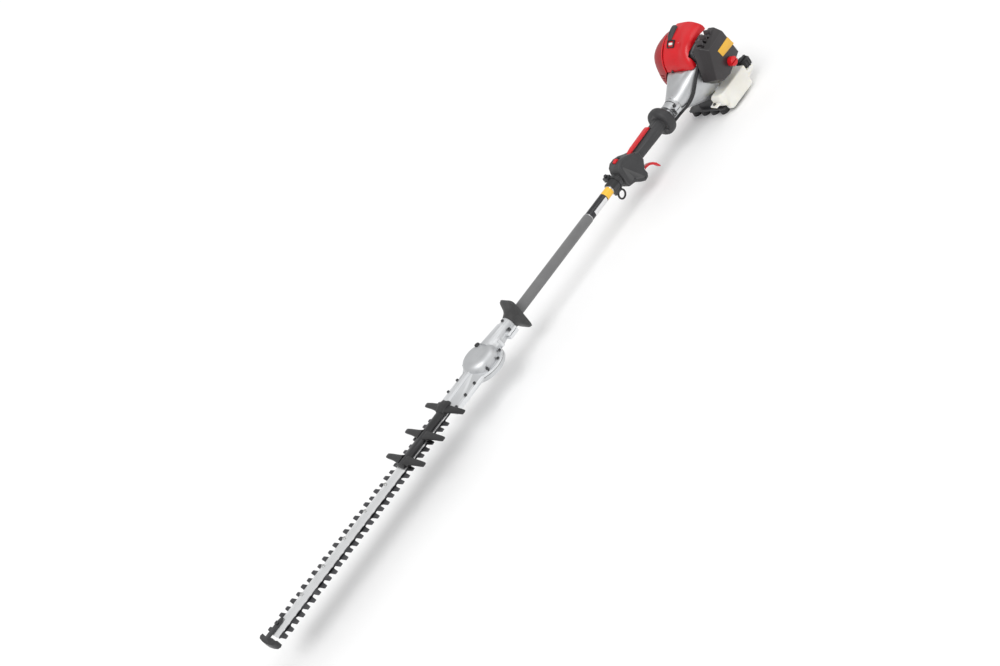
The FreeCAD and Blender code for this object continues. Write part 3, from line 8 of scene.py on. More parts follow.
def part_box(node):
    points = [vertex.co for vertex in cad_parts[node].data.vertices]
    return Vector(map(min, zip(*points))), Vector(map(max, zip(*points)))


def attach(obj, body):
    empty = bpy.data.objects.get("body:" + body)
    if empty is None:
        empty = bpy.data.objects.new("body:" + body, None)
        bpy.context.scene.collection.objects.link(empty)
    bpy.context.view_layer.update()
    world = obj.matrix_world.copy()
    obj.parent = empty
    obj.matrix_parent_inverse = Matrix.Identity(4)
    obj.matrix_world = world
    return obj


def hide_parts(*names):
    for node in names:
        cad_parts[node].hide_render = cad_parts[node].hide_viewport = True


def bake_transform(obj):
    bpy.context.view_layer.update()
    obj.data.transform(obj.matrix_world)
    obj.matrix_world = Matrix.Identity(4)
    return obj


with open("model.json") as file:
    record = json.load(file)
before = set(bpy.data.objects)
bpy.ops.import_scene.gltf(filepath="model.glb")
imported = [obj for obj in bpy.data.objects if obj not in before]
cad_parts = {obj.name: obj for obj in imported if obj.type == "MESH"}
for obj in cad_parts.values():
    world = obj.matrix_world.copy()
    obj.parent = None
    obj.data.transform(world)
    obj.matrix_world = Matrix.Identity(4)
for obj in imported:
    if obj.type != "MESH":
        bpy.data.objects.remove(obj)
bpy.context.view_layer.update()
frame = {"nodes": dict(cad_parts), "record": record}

ROOT = "engine_and_shaft"
BODIES = frame["record"]["behaviour"]["bodies"]
NODE_BODY = {node: body for body, nodes in BODIES.items() for node in nodes}

# ---------------------------------------------------------------- places
# Points are written in tool millimetres: X from the blade tip, Y and Z from the shaft's axis.
TUBE_START = 862
TUBE_LOW, TUBE_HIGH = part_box("main_tube")
ORIGIN = Vector((TUBE_LOW.x - TUBE_START / 1000, (TUBE_LOW.y + TUBE_HIGH.y) / 2,
                 (TUBE_LOW.z + TUBE_HIGH.z) / 2))

TUBE_SKIN = 12.02                     # just outside the tube, for what is wrapped round it
DECAL_START, DECAL_END = 1269.5, 1338
BAND_START, BAND_END = 1338.2, 1363
COVER_WALL = 2.4
COVER_REAR = 1852
SEAM_Y = 45.4                         # where the engine cover meets the heat cover
CASE_ROOM = 66.4                      # radius that the heat cover leaves for the clutch case
CASE_RIM = 67.2
CASE_TOP = 49.6
PLUG_Y = 16
TANK_VOXEL = 0.0016                   # metres
TANK_SMOOTHING = 16
SCREWS_KEPT = 0.08                    # metres behind the rear grip's front end
HOLDER_SCREWS = 0.045                 # metres ahead of the crown gear; the holder's screws start there
HOLDER_DROP = 0.0028                  # metres from the CAD screws down to the holder's sloping top

LENS, SENSOR = 50.4, 36
EYE = (-338, -2603, 1605)
LOOK_RIGHT = (0.562, -0.609, -0.560)
LOOK_FORWARD = (0.371, 0.791, -0.487)
FLOOR_REACH = 40                      # metres
SKY_STRENGTH = 0.74


def mm(x, y=0.0, z=0.0):
    return ORIGIN + Vector((x, y, z)) / 1000


# ---------------------------------------------------------------- materials

class Nodes:
    """A material being wired, with short names for the nodes that most looks need."""

    def __init__(self, name):
        self.material = bpy.data.materials.new(name)
        self.material.use_nodes = True
        self.tree = self.material.node_tree
        self.shader = self.tree.nodes["Principled BSDF"]
        self.place = self.node("ShaderNodeTexCoord").outputs["Object"]

    def node(self, kind, **settings):
        made = self.tree.nodes.new(kind)
        for key, value in settings.items():
            setattr(made, key, value)
        return made

    def join(self, output, target):
        self.tree.links.new(output, target)

    def noise(self, size_mm, detail=3.0, stretch=(1, 1, 1), distortion=0.0):
        """Noise whose features are about size_mm across, stretched along X, Y or Z."""
        mapping = self.node("ShaderNodeMapping")
        mapping.inputs["Scale"].default_value = [1 / s for s in stretch]
        self.join(self.place, mapping.inputs["Vector"])
        noise = self.node("ShaderNodeTexNoise")
        noise.inputs["Scale"].default_value = 1000 / size_mm
        noise.inputs["Detail"].default_value = detail
        noise.inputs["Distortion"].default_value = distortion
        self.join(mapping.outputs[0], noise.inputs["Vector"])
        return noise.outputs["Fac"]

    def spread(self, value, low, high, from_low=0.3, from_high=0.7):
        scale = self.node("ShaderNodeMapRange")
        scale.inputs["From Min"].default_value = from_low
        scale.inputs["From Max"].default_value = from_high
        scale.inputs["To Min"].default_value = low
        scale.inputs["To Max"].default_value = high
        self.join(value, scale.inputs["Value"])
        return scale.outputs[0]

    def blend(self, factor, first, second):
        mix = self.node("ShaderNodeMix", data_type="RGBA")
        self.join(factor, mix.inputs["Factor"])
        for socket, colour in ((mix.inputs["A"], first), (mix.inputs["B"], second)):
            if isinstance(colour, tuple):
                socket.default_value = (*colour, 1)
            else:
                self.join(colour, socket)
        return mix.outputs["Result"]

    def worn_and_highlit_edges(self, low=0.52, high=0.6):
        """Where the surface turns outwards sharply, from 0 to 1: the mask for rubbed wear and for painted
        edge highlights.
        """
        pointed = self.node("ShaderNodeNewGeometry").outputs["Pointiness"]
        return self.spread(pointed, 0, 1, low, high)

    def bump(self, *heights):
        """Stack bumps: each is (value, depth in mm)."""
        below = None
        for value, depth in heights:
            bump = self.node("ShaderNodeBump")
            bump.inputs["Distance"].default_value = depth / 1000
            self.join(value, bump.inputs["Height"])
            if below is not None:
                self.join(below, bump.inputs["Normal"])
            below = bump.outputs[0]
        self.join(below, self.shader.inputs["Normal"])

    def finish(self, colour, roughness, **uniform):
        self.join(colour, self.shader.inputs["Base Color"])
        self.join(roughness, self.shader.inputs["Roughness"])
        for key, value in uniform.items():
            self.shader.inputs[key.replace("_", " ")].default_value = value
        return self.material


def plastic(name, colour, shade, gloss=(0.38, 0.52), grain_mm=0.7, grain_depth=0.05, rubbed_and_highlit_edge=None, **uniform):
    """Moulded plastic: spark-eroded grain, slow tone changes and paler edges, rubbed wear on most looks and
    a painted edge highlight on the air cleaner.
    """
    look = Nodes(name)
    tone = look.blend(look.spread(look.noise(45, 4), 0, 1), colour, shade)
    # paler edges: rubbed wear, and on the air cleaner a painted highlight along its edges
    if rubbed_and_highlit_edge is not None:
        tone = look.blend(look.spread(look.worn_and_highlit_edges(), 0, 0.55, 0, 1), tone, rubbed_and_highlit_edge)
    look.bump((look.noise(grain_mm, 2), grain_depth), (look.noise(22, 1), 0.12))
    return look.finish(tone, look.spread(look.noise(6, 4), *gloss), **uniform)


def metal(name, colour, shade, gloss=(0.25, 0.4), grain_mm=1.2, grain_depth=0.04, stretch=(1, 1, 1),
          **uniform):
    """Bare metal: cast or brushed grain, faint stains, and brighter edges that are partly rubbed wear and
    partly a painted highlight.
    """
    look = Nodes(name)
    tone = look.blend(look.spread(look.noise(30, 5), 0, 1), colour, shade)
    # paler edge colour: partly rubbed wear, partly a painted highlight along the edges
    worn_and_highlit_tone = tuple(min(1.0, c * 1.25 + 0.05) for c in colour)
    tone = look.blend(look.spread(look.worn_and_highlit_edges(), 0, 0.7, 0, 1), tone, worn_and_highlit_tone)
    fine = look.noise(grain_mm, 3, stretch)
    look.bump((fine, grain_depth))
    return look.finish(tone, look.spread(fine, *gloss), Metallic=1.0, **uniform)


LOOKS = {
    "red": plastic("red_moulding", (0.66, 0.006, 0.012), (0.56, 0.005, 0.01), (0.32, 0.4), 2.5, 0.006,
                   None, Coat_Weight=0.2, Coat_Roughness=0.1, Specular_IOR_Level=0.35),
    "dark_red": plastic("red_heat_cover", (0.36, 0.012, 0.016), (0.27, 0.008, 0.012), (0.38, 0.5), 1.1, 0.08,
                        (0.5, 0.05, 0.05)),
    "black": plastic("black_moulding", (0.012, 0.012, 0.013), (0.019, 0.019, 0.02), (0.38, 0.5), 0.9, 0.06,
                     (0.06, 0.06, 0.065)),
    "grip": plastic("grip_moulding", (0.028, 0.028, 0.03), (0.038, 0.038, 0.04), (0.5, 0.62), 1.0, 0.09,
                    (0.09, 0.09, 0.09)),
    "rubber": plastic("hand_guard_rubber", (0.028, 0.028, 0.028), (0.038, 0.038, 0.038), (0.55, 0.7), 0.8,
                      0.06, (0.08, 0.08, 0.08), Sheen_Weight=0.2),
    "foam": plastic("sleeve_foam", (0.135, 0.135, 0.137), (0.165, 0.165, 0.167), (0.75, 0.9), 0.9, 0.22,
                    (0.2, 0.2, 0.2), Sheen_Weight=0.35),
    "cast": metal("cast_aluminium", (0.6, 0.61, 0.62), (0.52, 0.53, 0.54), (0.38, 0.52), 1.1, 0.08),
    "gear_cast": metal("gear_case_aluminium", (0.66, 0.67, 0.68), (0.58, 0.59, 0.6), (0.46, 0.58), 1.3,
                       0.05),
    "tube": metal("drawn_aluminium", (0.78, 0.78, 0.79), (0.7, 0.7, 0.72), (0.2, 0.32), 0.5, 0.02,
                  (40, 1, 1)),
    "bar": metal("anodised_bar", (0.86, 0.87, 0.88), (0.78, 0.79, 0.8), (0.26, 0.38), 0.4, 0.02, (60, 1, 1)),
    "blade": metal("ground_blade_steel", (0.075, 0.075, 0.08), (0.045, 0.045, 0.05), (0.34, 0.46), 0.5, 0.03,
                   (1, 14, 1)),
    "steel": metal("zinc_plated_steel", (0.6, 0.6, 0.6), (0.5, 0.5, 0.48), (0.25, 0.4), 0.6, 0.02),
    "dark_steel": metal("blackened_steel", (0.09, 0.09, 0.095), (0.06, 0.06, 0.062), (0.32, 0.45), 0.7,
                        0.02),
    "bronze": metal("bearing_bronze", (0.55, 0.38, 0.16), (0.45, 0.3, 0.12), (0.3, 0.45), 0.8, 0.03),
    "tank": plastic("tank_polyethylene", (0.86, 0.85, 0.8), (0.8, 0.79, 0.72), (0.3, 0.42), 2.5, 0.05,
                    (0.92, 0.91, 0.87), Subsurface_Weight=0.35, Subsurface_Radius=(0.02, 0.018, 0.012),
                    Subsurface_Scale=0.4),
    "felt": plastic("filter_felt", (0.16, 0.15, 0.12), (0.22, 0.2, 0.16), (0.85, 0.95), 0.8, 0.3, None,
                    Sheen_Weight=0.5),
    "ceramic": plastic("plug_ceramic", (0.85, 0.85, 0.82), (0.78, 0.78, 0.75), (0.08, 0.14), 8, 0.01),
    "yellow": plastic("yellow_label", (0.83, 0.47, 0.045), (0.76, 0.42, 0.04), (0.3, 0.4), 4, 0.01),
    "orange": plastic("yellow_band", (0.95, 0.55, 0.045), (0.9, 0.5, 0.04), (0.28, 0.36), 4, 0.01),
    "insert": plastic("cover_insert", (0.035, 0.037, 0.04), (0.045, 0.047, 0.05), (0.45, 0.55), 0.8, 0.04),
    # the air cleaner's pale edge colour (0.16, 0.14, 0.15) is a painted highlight along its chamfered edges
    "cleaner": plastic("air_cleaner_moulding", (0.015, 0.013, 0.014), (0.022, 0.019, 0.02), (0.3, 0.4), 1.0,
                       0.04, (0.16, 0.14, 0.15)),
    "shield": plastic("heat_shield_coating", (0.1, 0.1, 0.105), (0.14, 0.14, 0.145), (0.4, 0.55), 1.2, 0.06),
    "bumper": plastic("bumper_rubber", (0.12, 0.12, 0.12), (0.16, 0.16, 0.16), (0.5, 0.6), 1.0, 0.05),
    "rope": plastic("starter_rope", (0.7, 0.68, 0.6), (0.5, 0.48, 0.42), (0.7, 0.85), 0.8, 0.2),
    "decal": plastic("black_decal", (0.012, 0.012, 0.014), (0.02, 0.02, 0.024), (0.22, 0.32), 4, 0.01),
}

NODE_LOOK = {
    "tip_protector": "black", "guide_bar": "bar", "upper_blade": "blade", "lower_blade": "blade",
    "blade_bolts": "steel", "blade_nuts": "steel", "small_screws": "dark_steel", "blade_guard": "black",
    "gear_case": "gear_cast", "gear_case_cover": "gear_cast", "gear_case_screws": "dark_steel",
    "clamp_screws": "dark_steel",
    "grease_plug": "dark_steel", "crown_gear": "steel", "pinion": "steel", "bearings": "bronze",
    "main_tube": "tube", "drive_shaft": "steel", "shaft_bushes": "bronze", "hand_guard": "rubber",
    "grip_sleeve": "foam", "harness_clamp": "black", "rear_grip_left": "grip", "rear_grip_right": "grip",
    "grip_screws": "dark_steel", "grip_pins": "steel", "throttle_trigger": "red", "lockout_lever": "red",
    "stop_switch": "red", "clutch_case": "cast", "clutch_drum": "dark_steel", "clutch_shoe_left": "steel",
    "clutch_shoe_right": "steel", "clutch_spring": "steel", "flywheel_fan": "cast", "crankshaft": "steel",
    "connecting_rod": "steel", "piston": "cast", "crankcase": "cast", "cylinder": "cast",
    "spark_plug": "ceramic", "plug_cap": "black", "engine_cover": "red", "muffler": "dark_steel",
    "muffler_cover": "dark_red", "air_cleaner_case": "black", "air_cleaner_cover": "black",
    "air_filter": "felt", "cover_knob": "red", "carburettor": "cast", "carburettor_lever": "steel",
    "primer_bulb": "black", "fuel_tank": "tank", "fuel_cap": "black", "engine_stand": "black",
    "recoil_housing": "black", "starter_reel": "black", "starter_cup": "steel", "starter_handle": "black",
    "throttle_conduit": "black",
}


# ---------------------------------------------------------------- mesh tools


def link(obj):
    bpy.context.scene.collection.objects.link(obj)
    return obj


def built(name, points, faces):
    """A mesh object from points and faces, with its faces turned outwards."""
    mesh = bpy.data.meshes.new(name)
    mesh.from_pydata([tuple(p) for p in points], [], faces)
    work = bmesh.new()
    work.from_mesh(mesh)
    bmesh.ops.remove_doubles(work, verts=work.verts, dist=1e-6)
    bmesh.ops.recalc_face_normals(work, faces=work.faces)
    work.to_mesh(mesh)
    work.free()
    return link(bpy.data.objects.new(name, mesh))


def settle(obj):
    """Turn an object's modifiers into plain mesh."""
    graph = bpy.context.evaluated_depsgraph_get()
    mesh = bpy.data.meshes.new_from_object(obj.evaluated_get(graph))
    obj.modifiers.clear()
    obj.data = mesh
    return obj


def modified(obj, kind, **settings):
    modifier = obj.modifiers.new(kind, kind)
    for key, value in settings.items():
        setattr(modifier, key, value)
    return obj


def bevelled(obj, width, segments=3, degrees=35):
    modified(obj, "BEVEL", width=width / 1000, segments=segments, limit_method="ANGLE",
             angle_limit=math.radians(degrees), use_clamp_overlap=True)
    return settle(obj)


def subdivided(obj, levels=2):
    modified(obj, "SUBSURF", levels=levels, render_levels=levels)
    return settle(obj)


def thickened(obj, wall, offset=-1.0):
    modified(obj, "SOLIDIFY", thickness=wall / 1000, offset=offset, use_even_offset=True)
    return settle(obj)


def carved(obj, *tools, operation="DIFFERENCE"):
    """Cut the tools out of the piece and throw them away."""
    for tool in tools:
        modified(obj, "BOOLEAN", operation=operation, object=tool, solver="EXACT")
        settle(obj)
        bpy.data.objects.remove(tool)
    return obj


def dressed(obj, look, sharp_degrees=38):
    """Give the piece its material and smooth shading up to an angle."""
    obj.data.materials.clear()
    obj.data.materials.append(LOOKS[look])
    obj.data.polygons.foreach_set("material_index", [0] * len(obj.data.polygons))
    obj.data.shade_smooth()
    obj.data.set_sharp_from_angle(angle=math.radians(sharp_degrees))
    return obj


def piece(obj, look, body=ROOT, stands_for=(), sharp_degrees=38):
    """Finish a piece: material, body to ride on, and the CAD nodes that it stands for."""
    dressed(obj, look, sharp_degrees)
    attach(obj, body)
    if stands_for:
        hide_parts(*stands_for)
    return obj


def copy_of(node, name):
    """The CAD node's mesh as a new object, with its flat faces whole again."""
    obj = link(bpy.data.objects.new(name, frame["nodes"][node].data.copy()))
    work = bmesh.new()
    work.from_mesh(obj.data)
    bmesh.ops.remove_doubles(work, verts=work.verts, dist=1e-6)
    bmesh.ops.dissolve_limit(work, angle_limit=math.radians(1.5), verts=work.verts, edges=work.edges)
    work.to_mesh(obj.data)
    work.free()
    return obj


def polished(node, bevel=0.5, look=None, segments=2, degrees=40):
    """A copy of a CAD node with its hard edges broken, standing for that node."""
    obj = bevelled(copy_of(node, node + "_body"), bevel, segments, degrees)
    return piece(obj, look or NODE_LOOK[node], NODE_BODY[node], (node,))


def lofted(name, rings, closed=True, caps=(True, True)):
    """Skin over rings of points with equal counts; closed rings may be capped at either end."""
    count = len(rings[0])
    points = [p for ring in rings for p in ring]
    faces = []
    for row in range(len(rings) - 1):
        for k in range(count if closed else count - 1):
            here, beside = row * count + k, row * count + (k + 1) % count
            faces.append((here, beside, beside + count, here + count))
    if caps[0]:
        faces.append(tuple(range(count)))
    if caps[1]:
        faces.append(tuple(range(len(points) - count, len(points))))
    return built(name, points, faces)


def eased(corners, reach, steps=5):
    """An outline in two coordinates with each corner turned into a curve."""
    out = []
    for index, corner in enumerate(corners):
        corner = Vector(corner)
        before, after = Vector(corners[index - 1]), Vector(corners[(index + 1) % len(corners)])
        first = corner.lerp(before, min(0.48, reach / (before - corner).length))
        last = corner.lerp(after, min(0.48, reach / (after - corner).length))
        for k in range(steps + 1):
            t = k / steps
            out.append(first.lerp(corner, t).lerp(corner.lerp(last, t), t))
    return out


def slab(name, corners, low, high, axis="Y"):
    """A flat-sided prism: corners in the other two coordinates, pushed between two places on the axis."""
    def at(pair, along):
        order = {"X": (along, *pair), "Y": (pair[0], along, pair[1]), "Z": (*pair, along)}
        return mm(*order[axis])
    return lofted(name, [[at(p, along) for p in corners] for along in (low, high)])


def brick(name, low, high):
    """A box between two corners."""
    return slab(name, [(low[0], low[1]), (high[0], low[1]), (high[0], high[1]), (low[0], high[1])],
                low[2], high[2], "Z")


def turned(name, profile, start, direction, steps=64):
    """A lathe piece: (distance along, radius) pairs about the line from start."""
    direction = Vector(direction).normalized()
    across = direction.orthogonal().normalized()
    other = direction.cross(across)
    rings = []
    for along, radius in profile:
        rings.append([mm(*start) + (direction * along + (across * math.cos(turn) + other * math.sin(turn))
                                    * radius) / 1000
                      for turn in (2 * math.pi * k / steps for k in range(steps))])
    return lofted(name, rings)


def rod(name, start, direction, radius, length, steps=48, bevel=0.0):
    """A plain round bar."""
    obj = turned(name, [(0, radius), (length, radius)], start, direction, steps)
    return bevelled(obj, bevel, 2) if bevel else obj


def swept(name, path, radius_at, steps=20):
    """A round hose through points in millimetres; radius_at gives the radius at each point's number."""
    rings = []
    across = None
    for index, place in enumerate(path):
        ahead = (path[min(index + 1, len(path) - 1)] - path[max(index - 1, 0)]).normalized()
        across = ahead.orthogonal() if across is None else across - ahead * across.dot(ahead)
        across.normalize()
        other = ahead.cross(across)
        rings.append([mm(*(place + (across * math.cos(turn) + other * math.sin(turn)) * radius_at(index)))
                      for turn in (2 * math.pi * k / steps for k in range(steps))])
    return lofted(name, rings)


def screw_head(name, at, facing, radius, height=2.2, look="dark_steel", body=ROOT):
    """A socket-head screw standing on a surface: the head, its chamfer and a hexagon recess."""
    head = turned(name, [(-1.5, radius), (height - 0.5, radius), (height, radius - 0.5)], at, facing, 40)
    start = Vector(at) + Vector(facing).normalized() * (height - radius * 0.55)
    recess = turned(name + "_socket", [(0, radius * 0.5), (radius, radius * 0.5)], start, facing, 6)
    return piece(carved(head, recess), look, body, sharp_degrees=30)


# ---------------------------------------------------------------- engine

def make_engine_cover():
    """Red top cover: a dome whose left side meets the heat cover, with a raised band and a flare."""
    # height, front x, left edge, right edge, right-hand corner's radius
    levels = [
        (50.2, 1747, 45, -51, 9), (57, 1748, 45, -51, 10), (68, 1750.5, 45, -50.5, 12),
        (79, 1755, 45, -49, 15), (89, 1762, 45, -48, 18), (97, 1770, 45, -48, 20),
        (104, 1779, 44.5, -45, 22), (110, 1788, 44, -38, 22), (115, 1798, 42, -29, 20),
        (119, 1809, 39, -17, 16), (122, 1822, 36, -5, 12), (124, 1834, 30, 6, 8)]
    rear = COVER_REAR
    rings = []
    for height, front, left, right, corner in levels:
        ring = [(front + 4 + (rear - front - 4) * k / 6, left) for k in range(6, -1, -1)]
        ring += [(front + 1, left - 1.2), (front, left - 4)]
        low = right + corner
        ring += [(front, left - 4 + (low - left + 4) * k / 14) for k in range(1, 15)]
        for k in range(1, 6):
            turn = math.radians(18 * k)
            ring.append((front + corner * (1 - math.cos(turn)), low - corner * math.sin(turn)))
        ring += [(front + corner + (rear - front - corner) * k / 6, right) for k in range(1, 7)]
        points = []
        for x, y in ring:
            valley = math.exp(-((y + 8) / 13) ** 2) * min(1.0, max(0.0, (height - 62) / 40))
            pinch = math.exp(-((height - 92) / 14) ** 2) * max(0.0, min(1.0, (-18 - y) / 30))
            flare = max(0.0, (x - 1815) / 37) ** 2 * max(0.0, min(1.0, (-y + 12) / 50))
            points.append(mm(x + 5.5 * valley + 3 * pinch, y + 5 * pinch - 2.5 * flare,
                             height - 2.2 * valley + 3 * flare))
        rings.append(points)
    shell = subdivided(lofted("engine_cover_shell", rings, False, (False, True)), 2)
    thickened(shell, COVER_WALL)
    opening = slab("side_opening", [(1764, 40), (1762, 80), (1774, 88), (1822, 95), (1870, 92), (1870, 40)],
                   -80, -36)
    carved(shell, opening)
    piece(shell, "red", stands_for=("engine_cover",), sharp_degrees=34)
    # black pill-shaped insert on the raised band
    along = Vector((36, 0, 14)).normalized()
    up = Vector((-along.z, 0, along.x))
    middle = Vector((1815, 25, 123.6))
    rings = []
    for lift, half_length, half_width in ((-7, 23, 8.6), (0.6, 23, 8.6), (2.2, 21.8, 7.4), (2.8, 19, 5.2)):
        ring = []
        for k in range(40):
            turn = 2 * math.pi * k / 40
            reach = math.copysign(abs(math.cos(turn)) ** 0.6, math.cos(turn)) * half_length
            wide = math.copysign(abs(math.sin(turn)) ** 0.6, math.sin(turn)) * half_width
            sag = 2.6 * (reach / 24) ** 2
            ring.append(mm(*(middle + along * reach + Vector((0, wide, 0)) + up * (lift - sag))))
        rings.append(ring)
    piece(lofted("cover_insert", rings), "insert", sharp_degrees=50)
    # spark-plug pocket on the slope: a dark frame, the cap's clip inside and the plug below
    slope = Vector((-0.62, 0, 0.78))
    across = Vector((0.78, 0, 0.62))
    place = Vector((1786, 17, 109.5))

    def on_slope(u, v, w):
        return mm(*(place + across * u + Vector((0, v, 0)) + slope * w))

    def plate_on_slope(name, half_u, half_v, low, high):
        corners = eased([(-half_u, -half_v), (half_u, -half_v), (half_u, half_v), (-half_u, half_v)], 2.5, 4)
        return lofted(name, [[on_slope(p.x, p.y, w) for p in corners] for w in (low, high)])

    rim = plate_on_slope("plug_frame", 10.5, 12, -6, 2.4)
    carved(rim, plate_on_slope("plug_hole", 8, 9.6, -2.5, 9))
    piece(bevelled(rim, 0.7), "black")
    clip = bevelled(plate_on_slope("plug_clip", 3.2, 6.4, -2.5, 1.8), 1.0)
    piece(clip, "ceramic", NODE_BODY["plug_cap"], ("plug_cap",))
    plug = turned("plug_core", [(0, 4), (12, 4), (12, 8.6), (19, 8.6), (19, 5), (33, 5)],
                  (1785, PLUG_Y, 98), (1, 0, 0))
    piece(plug, "ceramic", NODE_BODY["spark_plug"], ("spark_plug",))
    # screw that holds cover and casting
    screw_head("cover_screw", (1746.4, 21, 52), (-1, 0, 0.1), 3.6, 2.4)
    # grey heat shield under the open side
    shield = slab("heat_shield", [(1776, 52), (1774, 80), (1792, 88), (1838, 91), (1840, 52)], -47, -34)
    piece(bevelled(shield, 2.5), "shield")
    for k in range(5):
        fin = brick("shield_rib_%d" % k, (1777, -48.6, 56 + 6.4 * k), (1836, -46, 58.4 + 6.4 * k))
        piece(bevelled(fin, 0.6, 2), "shield")


def make_heat_cover():
    """Darker red cover over the muffler: a rounded lobe with cooling slots low on its front."""
    outline = eased([(1743, -6), (1741.5, 22), (1746, 50), (1753, 76), (1766, 96), (1784, 107), (1808, 113),
                     (1852, 113), (1852, -6)], 12, 5)
    middle = Vector((1800, 54))
    levels = [(SEAM_Y, 0.0), (48, 0.004), (56, 0.016), (66, 0.05), (76, 0.11), (84, 0.19), (90, 0.29),
              (94.5, 0.43), (96.8, 0.6), (97, 0.8)]
    rings = []
    for y, share in levels:
        rings.append([mm(p.x, y, p.y) for p in (q.lerp(middle, share) for q in outline)])
    shell = thickened(subdivided(lofted("heat_cover", rings, True, (False, True)), 1), COVER_WALL)
    case = turned("case_room", [(0, CASE_ROOM), (60, CASE_ROOM)], (1729, 0, 0), (1, 0, 0), 96)
    slots = [brick("cooling_slot", (1728, 60, -1 + 8 * k), (1758, 92, 2.4 + 8 * k)) for k in range(6)]
    carved(shell, case, *slots)
    piece(shell, "dark_red", stands_for=("muffler_cover",), sharp_degrees=34)
    # raised bead along the seam between the two covers
    seam = [(1746, 50), (1750, 68), (1758, 84), (1768, 97), (1780, 106), (1796, 114), (1812, 119)]
    path = [Vector((x, 45.6, z)) for x, z in seam]
    piece(swept("cover_seam", smooth_path(path, 5), lambda k: 1.7, 12), "red")


def smooth_path(points, steps):
    """A curve through the points, with that many steps between each two (Catmull-Rom)."""
    extended = [points[0] * 2 - points[1], *points, points[-1] * 2 - points[-2]]
    out = []
    for a, b, c, d in zip(extended, extended[1:], extended[2:], extended[3:]):
        for k in range(steps):
            t = k / steps
            out.append((b * 2 + (c - a) * t + (a * 2 - b * 5 + c * 4 - d) * t ** 2
                        + (b * 3 - a - c * 3 + d) * t ** 3) / 2)
    return [*out, points[-1]]


def make_air_cleaner():
    """Black box with a chamfered face, cooling louvres on top, a yellow plate and a red knob."""
    back = [(1737, 14), (1766, 97), (1846, 101), (1857, 12), (1793, -13), (1758, -9)]
    face = [(1743, 13), (1773, 84), (1841, 89), (1851, 13), (1790, -8), (1764, -5)]
    rings = []
    for y, share in ((-66.8, 0.06), (-70, 0.0), (-84, 0.0), (-88, 0.06), (-110, 0.9), (-112, 1.0)):
        rings.append([mm(b[0] + (f[0] - b[0]) * share, y, b[1] + (f[1] - b[1]) * share)
                      for b, f in zip(back, face)])
    shell = bevelled(lofted("air_cleaner_shell", rings), 3.2, 4, 12)
    slots = []
    for k in range(4):
        x = 1772 + 15 * k
        slots.append(slab("louvre", [(x, 88), (x + 7, 88), (x + 14, 118), (x + 7, 118)], -96 + 1.5 * k, -76))
    carved(shell, *slots)
    piece(shell, "cleaner", NODE_BODY["air_cleaner_cover"], ("air_cleaner_cover",), 30)
    # ribs between the louvres
    for k in range(3):
        x = 1779 + 20 * k
        rib_bar = slab("top_rib_%d" % k, [(x, 90), (x + 3, 90), (x + 9, 108), (x + 6, 108)], -92, -68)
        piece(bevelled(rib_bar, 1.0), "cleaner")
    corners = [(1846, 67), (1853, 39), (1797, 41), (1792, 64)]
    middle = Vector((1822, 53))
    corners = [tuple(middle + (Vector(c) - middle) * 0.94) for c in corners]
    plate = bevelled(slab("cleaner_plate", corners, -112.9, -111.6), 0.35, 2)
    piece(plate, "yellow")
    polished("cover_knob", 1.2, segments=3)
    polished("air_cleaner_case", 1.0)


def make_tank():
    """Fuel tank: the CAD tank's outside, filled, rounded all over, with a mounting tab."""
    solid = copy_of("fuel_tank", "fuel_tank_shell")
    stopper = rod("mouth_stopper", (1884, -68, -68), (0, 0, 1), 11.6, 16)
    join = bmesh.new()
    join.from_mesh(solid.data)
    join.from_mesh(stopper.data)
    join.to_mesh(solid.data)
    join.free()
    bpy.data.objects.remove(stopper)
    modified(solid, "REMESH", mode="VOXEL", voxel_size=TANK_VOXEL)
    settle(solid)
    keep_largest(solid)
    modified(solid, "SMOOTH", factor=0.6, iterations=TANK_SMOOTHING)
    settle(solid)
    piece(solid, "tank", stands_for=("fuel_tank",), sharp_degrees=80)
    tab = bevelled(slab("tank_tab", [(1728, -70), (1752, -74), (1762, -60), (1752, -44), (1732, -46)],
                        -66, -61, "Z"), 1.6, 3)
    piece(tab, "tank")
    screw_head("tank_screw", (1738, -58, -61), (0, 0, 1), 4.2, 3)
    polished("fuel_cap", 0.8)
    bar = slab("cap_bar", [(1869, -72), (1899, -72), (1899, -64), (1869, -64)], -38.5, -33.2, "Z")
    bevelled(bar, 1.8)
    piece(bar, "black", NODE_BODY["fuel_cap"])


def keep_largest(obj):
    """Drop every loose part except the one with the largest box."""
    work = bmesh.new()
    work.from_mesh(obj.data)
    left = set(work.verts)
    groups = []
    while left:
        seed = left.pop()
        found, edge = {seed}, [seed]
        while edge:
            vert = edge.pop()
            for link_edge in vert.link_edges:
                other = link_edge.other_vert(vert)
                if other not in found:
                    found.add(other)
                    edge.append(other)
        left -= found
        groups.append(found)
    groups.sort(key=lambda g: max(v.co.x for v in g) - min(v.co.x for v in g))
    bmesh.ops.delete(work, geom=[v for g in groups[:-1] for v in g], context="VERTS")
    work.to_mesh(obj.data)
    work.free()


def make_conduit():
    """Corrugated throttle conduit along the CAD conduit's path."""
    corners = [Vector(c) for c in ((1596, -22, -16), (1650, -22, -16), (1700, -43, -8), (1741, -57, 36),
                                   (1786, -56, 64), (1806, -54, 49))]
    path = [corners[0]]
    for before, corner, after in zip(corners, corners[1:], corners[2:]):
        reach = 0.45 * min((corner - before).length, (after - corner).length)
        first = corner + (before - corner).normalized() * reach
        last = corner + (after - corner).normalized() * reach
        path += [first.lerp(corner, k / 12).lerp(corner.lerp(last, k / 12), k / 12) for k in range(13)]
    path.append(corners[-1])
    even = [path[0]]
    for start, end in zip(path, path[1:]):
        count = max(1, round((end - start).length / 0.9))
        even += [start.lerp(end, k / count) for k in range(1, count + 1)]
    hose = swept("throttle_hose", even, lambda k: 3.9 if k % 3 else 3.35, 18)
    piece(hose, "black", stands_for=("throttle_conduit",), sharp_degrees=25)


